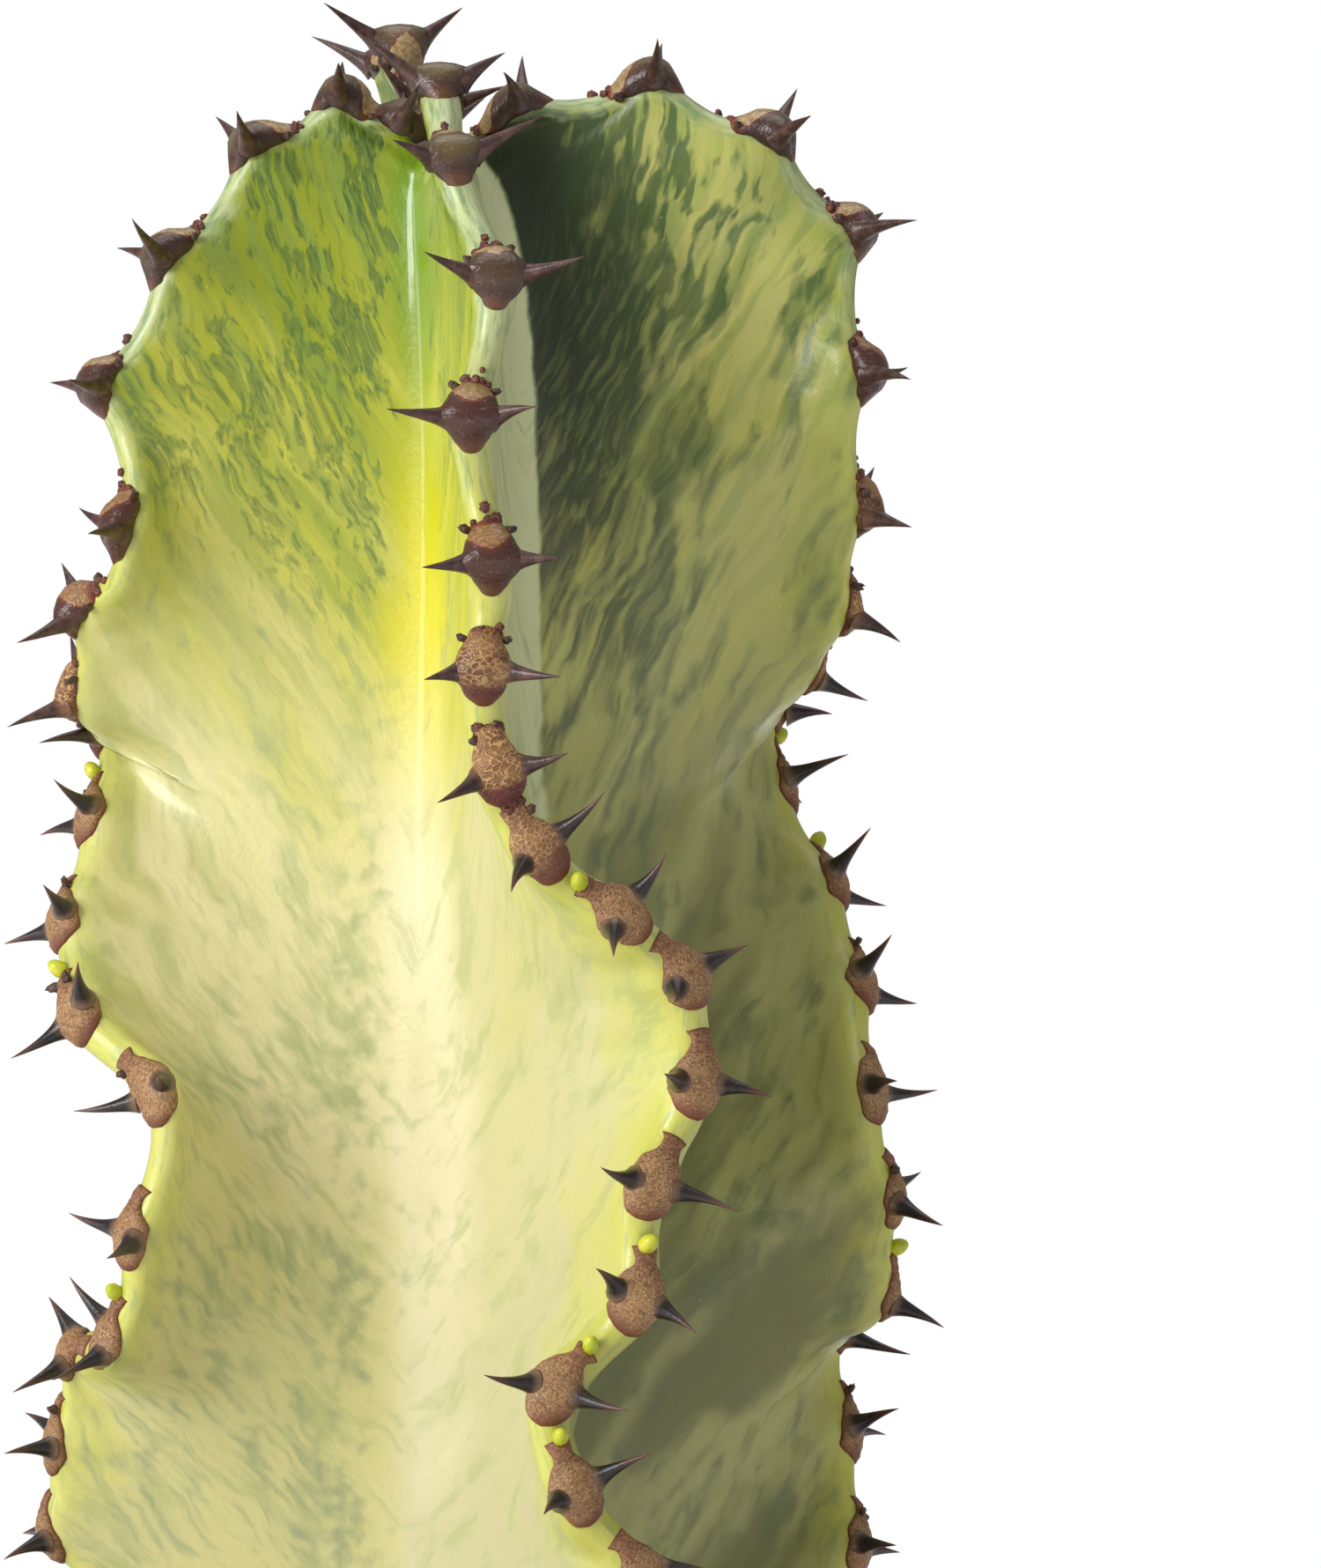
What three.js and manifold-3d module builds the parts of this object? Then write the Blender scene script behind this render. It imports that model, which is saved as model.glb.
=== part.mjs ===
// A potted candelabra spurge, sold as cowboy cactus: one variegated stem with four wavy ribs, in gritty soil
// in a plain clay pot. Millimetres, +Z up. The origin is the middle of the pot's underside, the front is -Y.
import * as THREE from "three";
import { ConvexGeometry } from "three/addons/geometries/ConvexGeometry.js";
import { mergeVertices } from "three/addons/utils/BufferGeometryUtils.js";
import Module from "manifold-3d";

const wasm = await Module();
wasm.setup();

// Driving dimensions.
const SEAT_GAP = 0.3; // between pieces that rest on each other
const POT = { height: 125, foot: 48, shoulder: 68, rim: 75, rimHeight: 27, wall: 6, floor: 8, drain: 8, sides: 56 };
const SOIL = { top: 113, fall: 2.5, mound: 1.6, rings: 6, socketSides: 28 };
const FOOT = { bottom: 66, radius: 15.5, socket: 17.4 };
const TIP = new THREE.Vector3(-5, 0, 366);

// The stem's slim core: how far the valleys between the ribs lie from the axis.
const CORE = { tipGrowth: 11, slim: 9, stout: 12.5, slimTo: 60, stoutFrom: 220, lift: 18, liftGrowth: 18 };
const ROWS = 62; // sections of the stem above the soil
const FIRST_ROW = 0.006; // the share of a rib's length where the first section lies, just under the tip
const BURIED_FROM = 0.9; // the share of a rib's length where it has gone under the soil
const AXIS_RETURN = 16; // the tip stands off the pot's axis, and the stem comes back to it over this height
const OUTWARD_LIFT = 25; // a rib's edge faces away from a point of the axis this far below it

// A rib's edge, young near the tip and old below: half its width at a shield and between two, and the dip
// between. A shield widens the edge as far as its reach, and the edge swells where it runs into the foot.
const EDGE = {
  young: { shield: 3.0, between: 2.1, dip: 2.1 },
  old: { shield: 3.3, between: 2.7, dip: 1.0 },
  youngTo: 60,
  oldFrom: 120,
  tipGrowth: 7,
  shieldReach: 4.6,
  footSwell: 1.6,
};
const ROUNDING = { slim: 0.17, stout: 0.26, foot: 0.75 }; // of the valleys: 0 is a sharp V

// An edge's thickness and its ripples, short to long, die out towards the core: the shorter, the sooner.
const RIM_FADE = 4;
const RIPPLES = [{ reach: 2, fade: 10 }, { reach: 5, fade: 5 }, { reach: 13, fade: 2.4 }];
const CALM_STEPS = 3;
const FOOT_BLEND = { from: 178, to: 116 }; // heights where the star section turns into the round foot

// Spine shields and their pairs of spines.
const SHIELD = { down: 5, up: 6.6, half: 3.8, proud: 1.4, sunk: 2.6 };
const SPINE = { young: 11.8, old: 10.6, root: 2.2, radius: 1.7, side: 0.9, sides: 3, spread: 60 };
const SPINE_JITTER = { spread: 7, length: 0.14, lean: 0.24 };
const BUD = { radius: 1.4, along: 6.8, from: 130, share: 0.6 };

// Each rib leaves the axis towards an angle. Its shields run from the youngest, at the tip, down to the last
// one that stands free of the base: [height, reach from the axis, sway across the rib, anticlockwise from above].
const RIBS = [
  {
    towards: -90,
    lowSway: [16, 1.2],
    shields: [
      [373, 14, -4.5], [363.5, 29, -2.5], [349, 41, 3], [332, 47.5, 0], [315, 49.5, 2.5], [302, 50, 1.5],
      [290, 50, 3.5], [281, 49.5, 8.5], [273.5, 47.5, 18.5], [265.5, 44.5, 26.5], [252.5, 43.5, 27.5],
      [240.5, 46, 22], [227, 47, 20], [216.5, 49.5, 10], [204.5, 50, 13], [193.5, 47, 21],
    ],
  },
  {
    towards: 0,
    lowSway: [12, 2.6],
    shields: [
      [371, 5, -2], [374, 22, -3], [367, 37, -4], [355, 47.5, 2], [337, 48.5, -3], [320.5, 48, 4], [308, 46, 12],
      [300.5, 41.5, 20], [295, 37.5, 28], [284.5, 39, 26], [273, 45.5, 16], [261, 49, 6], [248.5, 50, -6],
      [235, 52.5, -3], [222.5, 51.5, 3], [217, 46, 14], [203.5, 47.5, 12], [189.5, 48.5, 5],
    ],
  },
  {
    towards: 90,
    lowSway: [13, 0.4],
    shields: [
      [371, 8, 6], [379, 17, 10.5], [377, 31, 12], [367.5, 43, 9],
      ...waves({ top: 352, pitch: 13.1, count: 13, length: 50.5, sway: 19, turns: 1.9, phase: 0.3 }),
    ],
  },
  {
    towards: 180,
    lowSway: [13, 3.4],
    shields: [
      [369, 9.5, 2], [372, 17.5, 2], [365.5, 29, 3], [351.5, 39.5, 7], [335.5, 47.5, 8], [318, 44.5, 12],
      [308, 50.5, 5], [297.5, 51, -2], [293, 49, -11], [282, 50, -3], [269.5, 53, 5], [258.5, 50.5, 14],
      [249.5, 40.5, 22], [232, 43.5, 22], [219, 46.5, 18], [216, 52, 6], [204, 54, 2], [191.5, 55, 0],
    ],
  },
];
const LOW = { pitch: 12.4, count: 5, lengthTop: 48, lengthFoot: 23 }; // the shields below those lists

const smooth = (x) => THREE.MathUtils.smoothstep(x, 0, 1);
const mix = THREE.MathUtils.lerp;

// A steady generator of numbers from 0 to 1.
function randomFrom(seed) {
  let state = seed;
  return () => {
    state = (state * 1664525 + 1013904223) % 4294967296;
    return state / 4294967296;
  };
}

// Shields of a rib of a given length that swings from side to side on its way down.
function waves({ top, pitch, count, length, sway, turns, phase }) {
  return Array.from({ length: count }, (_, i) => {
    const across = sway * Math.sin(phase + (2 * Math.PI * turns * i) / (count - 1));
    return [top - pitch * i, Math.sqrt(length ** 2 - across ** 2), across];
  });
}

// The shields on the tapering base of a rib, below its own list.
function lowShields({ shields, lowSway: [sway, phase] }) {
  const [last, , lastSway] = shields.at(-1);
  return Array.from({ length: LOW.count }, (_, i) => {
    const share = (i + 1) / LOW.count;
    const across = mix(lastSway, sway * Math.sin(phase + 1.1 * i), smooth(2 * share)) * (1 - share);
    return [last - LOW.pitch * (i + 1), mix(LOW.lengthTop, LOW.lengthFoot, share ** 1.6), across];
  });
}

// The stem's axis at a height.
function axisAt(height) {
  const back = Math.exp(-Math.max(0, TIP.z - height) / AXIS_RETURN);
  return new THREE.Vector3(TIP.x * back, TIP.y * back, height);
}

// The edge of a rib as a curve from the tip down to the foot, with the places of its shields along it.
function growRib(rib) {
  const angle = THREE.MathUtils.degToRad(rib.towards);
  const out = new THREE.Vector3(Math.cos(angle), Math.sin(angle), 0);
  const across = new THREE.Vector3(-out.y, out.x, 0);
  const place = ([height, reach, sway]) =>
    out.clone().multiplyScalar(reach).addScaledVector(across, sway).setZ(height);
  const shields = [...rib.shields, ...lowShields(rib)];
  const points = [TIP, ...shields.map(place), place([SOIL.top, 17, 0]), place([FOOT.bottom, FOOT.radius, 0])];
  const curve = new THREE.CatmullRomCurve3(points, false, "centripetal");
  const steps = 24;
  curve.arcLengthDivisions = steps * (points.length - 1);
  const lengths = curve.getLengths();
  return {
    curve,
    length: curve.getLength(),
    shields: shields.map((_, i) => lengths[steps * (i + 1)]),
  };
}
const ribs = RIBS.map(growRib);
const meanLength = ribs.reduce((sum, rib) => sum + rib.length, 0) / ribs.length;

// The edge without ripples shorter than a reach: the mean of the curve for a stretch up and down from a place.
function calmAt(rib, share, reach) {
  const step = Math.min(reach / rib.length, share / CALM_STEPS, (1 - share) / CALM_STEPS);
  const sum = new THREE.Vector3();
  for (let i = -CALM_STEPS; i <= CALM_STEPS; i++) {
    sum.add(rib.curve.getPointAt(THREE.MathUtils.clamp(share + i * step, 0, 1)));
  }
  return sum.divideScalar(2 * CALM_STEPS + 1);
}

// How much a place along the edge belongs to a shield: 1 on it, 0 midway between two.
function nearShield(rib, along) {
  const distance = Math.min(...rib.shields.map((place) => Math.abs(place - along)));
  return Math.exp(-((distance / EDGE.shieldReach) ** 2));
}

// The edge of a rib at a share of its length: its middle, the way to the tip, outward, across, its half width,
// its age from 0 to 1, and the calm line under its ripples.
function edgeAt(rib, share) {
  const along = share * rib.length;
  const middle = rib.curve.getPointAt(share);
  const tipward = rib.curve.getTangentAt(share).negate();
  const axis = axisAt(middle.z);
  const away = middle.clone().sub(axis).setZ(OUTWARD_LIFT);
  const outward = away.addScaledVector(tipward, -away.dot(tipward)).normalize();
  const across = tipward.clone().cross(outward);
  const age = THREE.MathUtils.smoothstep(along, EDGE.youngTo, EDGE.oldFrom);
  const on = nearShield(rib, along);
  const grown = 1 - Math.exp(-along / EDGE.tipGrowth);
  const between = mix(EDGE.young.between, EDGE.old.between, age);
  const shield = mix(EDGE.young.shield, EDGE.old.shield, age);
  const dip = mix(EDGE.young.dip, EDGE.old.dip, age);
  const toFoot = 1 - THREE.MathUtils.smoothstep(middle.z, FOOT_BLEND.to, FOOT_BLEND.from);
  const half = mix(between, shield, on) * grown + EDGE.footSwell * toFoot;
  const bare = middle.clone();
  const levels = [bare, ...RIPPLES.map(({ reach }) => calmAt(rib, share, reach))];
  const ripples = RIPPLES.map((_, i) => levels[i].clone().sub(levels[i + 1]));
  middle.addScaledVector(outward, -dip * (1 - on) * grown * (1 - toFoot));
  return { middle, tipward, outward, across, half, age, bare, ripples, calm: levels.at(-1) };
}

// A point of the rounded edge, turned from -1, one side, to 1, the other.
function capPoint({ middle, outward, across, half }, turn) {
  const angle = (turn * Math.PI) / 2;
  return middle
    .clone()
    .addScaledVector(outward, -half * (1 - Math.cos(angle)))
    .addScaledVector(across, half * Math.sin(angle));
}

// How far a flank between two ribs keeps to one of them, from -1, at the other's edge, to 1, at its own.
function keep(side, rounding) {
  const bend = (x) => (Math.sqrt(x * x + rounding * rounding) + x) / 2;
  return bend(side) - bend(-1);
}

// Adds to a point of the flank what the edge's thickness and ripples do to it.
function addWaves(point, edge, rim, side) {
  if (side <= 0) return;
  point.addScaledVector(rim, side ** RIM_FADE);
  RIPPLES.forEach(({ fade }, i) => point.addScaledVector(edge.ripples[i], side ** fade));
}

// One section of the stem at a share of the edges' length, as a ring of points, anticlockwise from above.
const CAP_TURNS = [-1, 0, 1];
const FLANK_SIDES = [0.75, 0.4, 0.12, -0.12, -0.4, -0.75];
function sectionAt(share) {
  const edges = ribs.map((rib) => edgeAt(rib, share));
  const along = share * meanLength;
  const lift = CORE.lift * (1 - Math.exp(-along / CORE.liftGrowth));
  const ring = [];
  edges.forEach((edge, i) => {
    const next = edges[(i + 1) % edges.length];
    const height = (edge.calm.z + next.calm.z) / 2;
    const toFoot = 1 - THREE.MathUtils.smoothstep(height, FOOT_BLEND.to, FOOT_BLEND.from);
    const age = THREE.MathUtils.smoothstep(along, CORE.slimTo, CORE.stoutFrom);
    const grown = 1 - Math.exp(-along / CORE.tipGrowth);
    const radius = mix(mix(CORE.slim, CORE.stout, age), FOOT.radius, toFoot) * grown;
    const rounding = mix(mix(ROUNDING.slim, ROUNDING.stout, age), ROUNDING.foot, toFoot);
    const angle = THREE.MathUtils.degToRad(RIBS[i].towards + 45);
    const valley = axisAt(height - lift * (1 - toFoot));
    valley.x += radius * Math.cos(angle);
    valley.y += radius * Math.sin(angle);
    const middle = keep(0, rounding);
    const corner = valley.clone().addScaledVector(edge.calm, -middle).addScaledVector(next.calm, -middle);
    corner.multiplyScalar(1 / (1 - 2 * middle));
    const rim = capPoint(edge, 1).sub(edge.bare);
    const nextRim = capPoint(next, -1).sub(next.bare);
    CAP_TURNS.forEach((turn) => ring.push(capPoint(edge, turn)));
    for (const side of FLANK_SIDES) {
      const point = corner.clone();
      point.addScaledVector(edge.calm.clone().sub(corner), keep(side, rounding));
      point.addScaledVector(next.calm.clone().sub(corner), keep(-side, rounding));
      addWaves(point, edge, rim, side);
      addWaves(point, next, nextRim, -side);
      ring.push(point);
    }
  });
  return ring;
}

// A closed skin over rings of points, from a point at the top to a flat underside. Each four-sided face is
// split across its shorter diagonal.
function skinOver(top, rings, bottom) {
  const positions = [top, ...rings.flat(), bottom].flatMap((p) => [p.x, p.y, p.z]);
  const around = rings[0].length;
  const at = (row, column) => 1 + row * around + (column % around);
  const last = rings.length - 1;
  const faces = [];
  for (let i = 0; i < around; i++) {
    faces.push(0, at(0, i), at(0, i + 1));
    faces.push(1 + rings.length * around, at(last, i + 1), at(last, i));
    for (let row = 0; row < last; row++) {
      const next = (i + 1) % around;
      const falling = rings[row][i].distanceTo(rings[row + 1][next]);
      const rising = rings[row + 1][i].distanceTo(rings[row][next]);
      const corners = [at(row, i), at(row + 1, i), at(row + 1, i + 1), at(row, i + 1)];
      if (rising < falling) corners.push(corners.shift());
      const [a, b, c, d] = corners;
      faces.push(a, b, c, a, c, d);
    }
  }
  const geometry = new THREE.BufferGeometry();
  geometry.setAttribute("position", new THREE.Float32BufferAttribute(positions, 3));
  geometry.setIndex(faces);
  return geometry;
}

// Solids for joining and cutting.
function solidFrom(geometry) {
  const bare = geometry.clone();
  bare.deleteAttribute("normal");
  bare.deleteAttribute("uv");
  const merged = mergeVertices(bare, 1e-4);
  return new wasm.Manifold(
    new wasm.Mesh({
      numProp: 3,
      vertProperties: merged.attributes.position.array,
      triVerts: new Uint32Array(merged.index.array),
    }),
  );
}

function geometryFrom(solid) {
  const mesh = solid.getMesh();
  const geometry = new THREE.BufferGeometry();
  geometry.setAttribute("position", new THREE.BufferAttribute(new Float32Array(mesh.vertProperties), 3));
  geometry.setIndex(new THREE.BufferAttribute(new Uint32Array(mesh.triVerts), 1));
  geometry.computeVertexNormals();
  return geometry;
}

// A frame that takes x across the rib, y towards the tip and z outward.
function frameOf({ middle, tipward, outward, across }) {
  return new THREE.Matrix4().makeBasis(across, tipward, outward).setPosition(middle);
}

// The corky shield under a pair of spines, wrapped over the edge.
function shieldSolid(frame) {
  const { down, up, half, proud, sunk } = SHIELD;
  const points = [
    [0, -down, -0.4], [-half, -0.4, -1.2], [half, -0.4, -1.2], [-0.45 * half, 0.55 * up, -0.5],
    [0.45 * half, 0.55 * up, -0.5], [0, up, -0.5], [0, -0.5 * down, proud], [0, 0.3 * up, proud], [0, 0, -sunk],
  ].map(([x, y, z]) => new THREE.Vector3(x, y, z).applyMatrix4(frame));
  return solidFrom(new ConvexGeometry(points));
}

// One spine of a given length, rooted in the shield on the side given by -1 or 1.
function spineSolid(frame, length, side, random) {
  const { root, radius, sides } = SPINE;
  const spread = THREE.MathUtils.degToRad(SPINE.spread + SPINE_JITTER.spread * (2 * random() - 1));
  const grown = length * (1 + SPINE_JITTER.length * (2 * random() - 1));
  const lean = SPINE_JITTER.lean * (random() - 0.5);
  const way = new THREE.Vector3(side * Math.sin(spread), lean, Math.cos(spread)).normalize();
  const cone = new THREE.ConeGeometry(radius, grown, sides).translate(0, grown / 2 - root, 0);
  cone.applyQuaternion(new THREE.Quaternion().setFromUnitVectors(new THREE.Vector3(0, 1, 0), way));
  cone.translate(side * SPINE.side, 0, 0);
  return solidFrom(cone.applyMatrix4(frame));
}

// The stem: its ribbed skin, with every shield, spine and bud grown onto it.
function stem() {
  const shares = Array.from({ length: ROWS }, (_, row) => mix(FIRST_ROW, BURIED_FROM, row / (ROWS - 1)));
  const rings = [...shares, 1].map(sectionAt);
  const pieces = [solidFrom(skinOver(TIP, rings, new THREE.Vector3(0, 0, FOOT.bottom)))];
  const random = randomFrom(7);
  for (const rib of ribs) {
    for (const along of rib.shields) {
      const edge = edgeAt(rib, along / rib.length);
      const frame = frameOf(edge);
      pieces.push(shieldSolid(frame));
      const length = mix(SPINE.young, SPINE.old, edge.age);
      for (const side of [-1, 1]) pieces.push(spineSolid(frame, length, side, random));
      if (along > BUD.from && random() < BUD.share && edge.middle.z > FOOT_BLEND.from) {
        const bud = new THREE.OctahedronGeometry(BUD.radius, 0).translate(0, BUD.along, 0.3);
        pieces.push(solidFrom(bud.applyMatrix4(frame)));
      }
    }
  }
  return geometryFrom(wasm.Manifold.union(pieces));
}

// The inside of the pot from its rim down to its floor, as radius and height.
function potInside() {
  const { height, foot, shoulder, rim, rimHeight, wall, floor } = POT;
  const collar = height - rimHeight;
  return [
    [rim - wall, height - 2], [rim - wall - 0.5, collar + 4], [shoulder - wall, collar - 4],
    [foot - wall + 1, floor + 4], [foot - wall - 3, floor],
  ];
}

// The clay pot: a tapered wall, a collar round the rim and a drain hole through the floor.
function pot() {
  const { height, foot, shoulder, rim, rimHeight, wall, floor, drain, sides } = POT;
  const collar = height - rimHeight;
  const profile = [
    [drain, 0], [foot - 1.5, 0], [foot, 1.5], [shoulder, collar - 2], [rim - 1.5, collar], [rim, collar + 2],
    [rim, height - 2], [rim - 2, height], [rim - wall + 2, height], ...potInside(), [drain, floor], [drain, 0],
  ];
  return new THREE.LatheGeometry(profile.map(([x, y]) => new THREE.Vector2(x, y)), sides).rotateX(Math.PI / 2);
}

// The soil that fills the pot, uneven on top, with a plain hole where the stem stands.
function soil() {
  const random = randomFrom(31);
  const ringAt = (radius, height, unevenness) =>
    Array.from({ length: POT.sides }, (_, i) => {
      const angle = (2 * Math.PI * i) / POT.sides;
      const lift = unevenness * (random() - 0.5);
      return new THREE.Vector3(radius * Math.cos(angle), radius * Math.sin(angle), height + lift);
    });
  const wall = potInside().map(([radius, height]) => [radius - SEAT_GAP, height]);
  const shore = wall[0][0] - 0.5;
  const rings = [];
  for (let i = 0; i < SOIL.rings; i++) {
    const share = i / (SOIL.rings - 1);
    rings.push(ringAt(mix(FOOT.socket - 5, shore, share), SOIL.top - SOIL.fall * share, SOIL.mound));
  }
  for (const [radius, height] of wall.slice(1, -1)) rings.push(ringAt(radius, height, 0));
  const bottom = POT.floor + SEAT_GAP;
  rings.push(ringAt(wall.at(-1)[0], bottom, 0));
  const mass = solidFrom(skinOver(new THREE.Vector3(0, 0, SOIL.top), rings, new THREE.Vector3(0, 0, bottom)));
  const depth = SOIL.top - FOOT.bottom + 20;
  const socket = new THREE.CylinderGeometry(FOOT.socket, FOOT.socket, depth, SOIL.socketSides);
  socket.rotateX(Math.PI / 2).translate(0, 0, FOOT.bottom - SEAT_GAP + depth / 2);
  return geometryFrom(mass.subtract(solidFrom(socket)));
}

const materials = {
  stem: new THREE.MeshStandardMaterial({ color: 0xc9cf72, roughness: 0.42, metalness: 0 }),
  clay: new THREE.MeshStandardMaterial({ color: 0xb4623f, roughness: 0.85, metalness: 0 }),
  soil: new THREE.MeshStandardMaterial({ color: 0x4a3a2d, roughness: 0.95, metalness: 0 }),
};

function named(name, geometry, material) {
  const mesh = new THREE.Mesh(geometry, material);
  mesh.name = name;
  return mesh;
}

const plant = new THREE.Group();
plant.add(named("pot", pot(), materials.clay));
plant.add(named("soil", soil(), materials.soil));
plant.add(named("stem", stem(), materials.stem));

export default plant;
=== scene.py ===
"""The looks of a potted candelabra spurge, sold as cowboy cactus: a variegated stem with winged ribs in a pot.

The stem is grown here again, finer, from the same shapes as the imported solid, which it replaces. Lengths are
in millimetres up to the moment a mesh is made, and the mesh is in metres. The front is -Y and +Z is up.
"""
import math

import bmesh
import bpy
import numpy as np
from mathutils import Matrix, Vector


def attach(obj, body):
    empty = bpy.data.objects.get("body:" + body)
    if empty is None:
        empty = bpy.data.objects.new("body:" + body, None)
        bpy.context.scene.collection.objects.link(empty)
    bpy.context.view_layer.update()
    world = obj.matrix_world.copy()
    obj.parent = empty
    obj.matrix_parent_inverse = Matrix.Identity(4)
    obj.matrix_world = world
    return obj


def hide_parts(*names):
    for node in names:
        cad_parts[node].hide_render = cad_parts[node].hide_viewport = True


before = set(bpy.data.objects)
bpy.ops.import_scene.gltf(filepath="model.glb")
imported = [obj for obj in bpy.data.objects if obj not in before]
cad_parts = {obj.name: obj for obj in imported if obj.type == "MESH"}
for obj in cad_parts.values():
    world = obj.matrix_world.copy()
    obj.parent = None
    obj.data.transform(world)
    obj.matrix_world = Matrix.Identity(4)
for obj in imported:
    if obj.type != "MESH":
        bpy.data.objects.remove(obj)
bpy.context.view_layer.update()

MM = 0.001

# Sizes shared with the solids.
POT = dict(height=125, foot=48, shoulder=68, rim=75, rim_height=27, wall=6, floor=8, drain=8)
SEAT_GAP = 0.3
SOIL_TOP = 113
SOIL_FALL = 2.5
FOOT = dict(bottom=66, radius=15.5, socket=17.4)
TIP = np.array([-5.0, 0.0, 366.0])
CORE = dict(tip_growth=11, slim=9, stout=12.5, lift=18, lift_growth=18)
AXIS_RETURN = 16
OUTWARD_LIFT = 25
YOUNG_EDGE = dict(shield=3.0, between=2.1, dip=2.1)
OLD_EDGE = dict(shield=3.3, between=2.7, dip=1.0)
EDGE_AGES = (60, 120)
EDGE_TIP_GROWTH = 7
SHIELD_REACH = 4.6
FOOT_SWELL = 1.6
ROUNDING = dict(slim=0.17, stout=0.26, foot=0.75)
CALM_STEPS = 3
RIPPLES = [dict(reach=2, fade=10), dict(reach=5, fade=5), dict(reach=13, fade=2.4)]
FADES = [4] + [ripple["fade"] for ripple in RIPPLES]
FOOT_BLEND = (178, 116)
CORE_AGES = (60, 220)
SPINE = dict(young=11.8, old=10.6, root=2.2, side=0.9, spread=60)
SPINE_JITTER = dict(spread=7, length=0.14, lean=0.24)
SPINE_SEED = 7
BUD = dict(start=130, share=0.6)
SHIELD_AGES = (88, 140)

RIBS = [
    dict(towards=-90, low_sway=(16, 1.2), shields=[
        (373, 14, -4.5), (363.5, 29, -2.5), (349, 41, 3), (332, 47.5, 0), (315, 49.5, 2.5), (302, 50, 1.5),
        (290, 50, 3.5), (281, 49.5, 8.5), (273.5, 47.5, 18.5), (265.5, 44.5, 26.5), (252.5, 43.5, 27.5),
        (240.5, 46, 22), (227, 47, 20), (216.5, 49.5, 10), (204.5, 50, 13), (193.5, 47, 21),
    ]),
    dict(towards=0, low_sway=(12, 2.6), shields=[
        (371, 5, -2), (374, 22, -3), (367, 37, -4), (355, 47.5, 2), (337, 48.5, -3), (320.5, 48, 4),
        (308, 46, 12), (300.5, 41.5, 20), (295, 37.5, 28), (284.5, 39, 26), (273, 45.5, 16), (261, 49, 6),
        (248.5, 50, -6), (235, 52.5, -3), (222.5, 51.5, 3), (217, 46, 14), (203.5, 47.5, 12), (189.5, 48.5, 5),
    ]),
    dict(towards=90, low_sway=(13, 0.4), shields=[
        (371, 8, 6), (379, 17, 10.5), (377, 31, 12), (367.5, 43, 9),
    ], waves=dict(top=352, pitch=13.1, count=13, length=50.5, sway=19, turns=1.9, phase=0.3)),
    dict(towards=180, low_sway=(13, 3.4), shields=[
        (369, 9.5, 2), (372, 17.5, 2), (365.5, 29, 3), (351.5, 39.5, 7), (335.5, 47.5, 8), (318, 44.5, 12),
        (308, 50.5, 5), (297.5, 51, -2), (293, 49, -11), (282, 50, -3), (269.5, 53, 5), (258.5, 50.5, 14),
        (249.5, 40.5, 22), (232, 43.5, 22), (219, 46.5, 18), (216, 52, 6), (204, 54, 2), (191.5, 55, 0),
    ]),
]
LOW = dict(pitch=12.4, count=5, length_top=48, length_foot=23)

# The finer skin: rows down the stem, columns round a rib's edge and across the two flanks between two edges.
SKIN_ROWS = 372
CAP_COLUMNS = 13
FLANK_COLUMNS = 47
FOOT_CALM = (118, 148)
FOOT_PASSES = 60

# A streak climbs this far while it crosses a flank this wide, less on the older skin.
STREAK_RISE = dict(young=62, old=34, ages=(80, 170))
STREAK_REACH = 45
STREAK_START = 8
STREAK_CURVE = 0.6
PLEAT = dict(height=0.22, pitch=7.5, reach=13)


def smooth(x):
    x = np.clip(x, 0, 1)
    return x * x * (3 - 2 * x)


def between(x, low, high):
    return smooth((np.asarray(x, float) - low) / (high - low))


def mix(a, b, share):
    return a + (b - a) * share


def unit(v):
    return v / np.maximum(np.linalg.norm(v, axis=-1, keepdims=True), 1e-12)


class Draw:
    """The same steady generator of numbers from 0 to 1 as the solids use."""

    def __init__(self, seed):
        self.state = seed

    def __call__(self):
        self.state = (self.state * 1664525 + 1013904223) % 4294967296
        return self.state / 4294967296


def all_shields(rib):
    """The shields of a rib as rows of height, reach and sway, from the tip to the soil."""
    rows = list(rib["shields"])
    w = rib.get("waves")
    if w:
        for i in range(w["count"]):
            across = w["sway"] * math.sin(w["phase"] + 2 * math.pi * w["turns"] * i / (w["count"] - 1))
            rows.append((w["top"] - w["pitch"] * i, math.sqrt(w["length"] ** 2 - across ** 2), across))
    last, _, last_sway = rows[-1]
    sway, phase = rib["low_sway"]
    for i in range(LOW["count"]):
        share = (i + 1) / LOW["count"]
        across = mix(last_sway, sway * math.sin(phase + 1.1 * i), smooth(2 * share)) * (1 - share)
        reach = mix(LOW["length_top"], LOW["length_foot"], share ** 1.6)
        rows.append((last - LOW["pitch"] * (i + 1), reach, float(across)))
    return rows


def centripetal(points, steps):
    """A centripetal Catmull-Rom curve through the points, the same as in the solids, with steps a span."""
    ghosts = np.vstack([2 * points[0] - points[1], points, 2 * points[-1] - points[-2]])
    t = (np.arange(steps) / steps)[:, None]
    spans = []
    for p0, p1, p2, p3 in zip(ghosts, ghosts[1:], ghosts[2:], ghosts[3:]):
        d0, d1, d2 = (math.sqrt(np.linalg.norm(b - a)) for a, b in ((p0, p1), (p1, p2), (p2, p3)))
        m1 = ((p1 - p0) / d0 - (p2 - p0) / (d0 + d1) + (p2 - p1) / d1) * d1
        m2 = ((p2 - p1) / d1 - (p3 - p1) / (d1 + d2) + (p3 - p2) / d2) * d1
        spans.append(p1 + m1 * t + (3 * (p2 - p1) - 2 * m1 - m2) * t ** 2 + (2 * (p1 - p2) + m1 + m2) * t ** 3)
    return np.vstack(spans + [points[-1:]])


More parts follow.
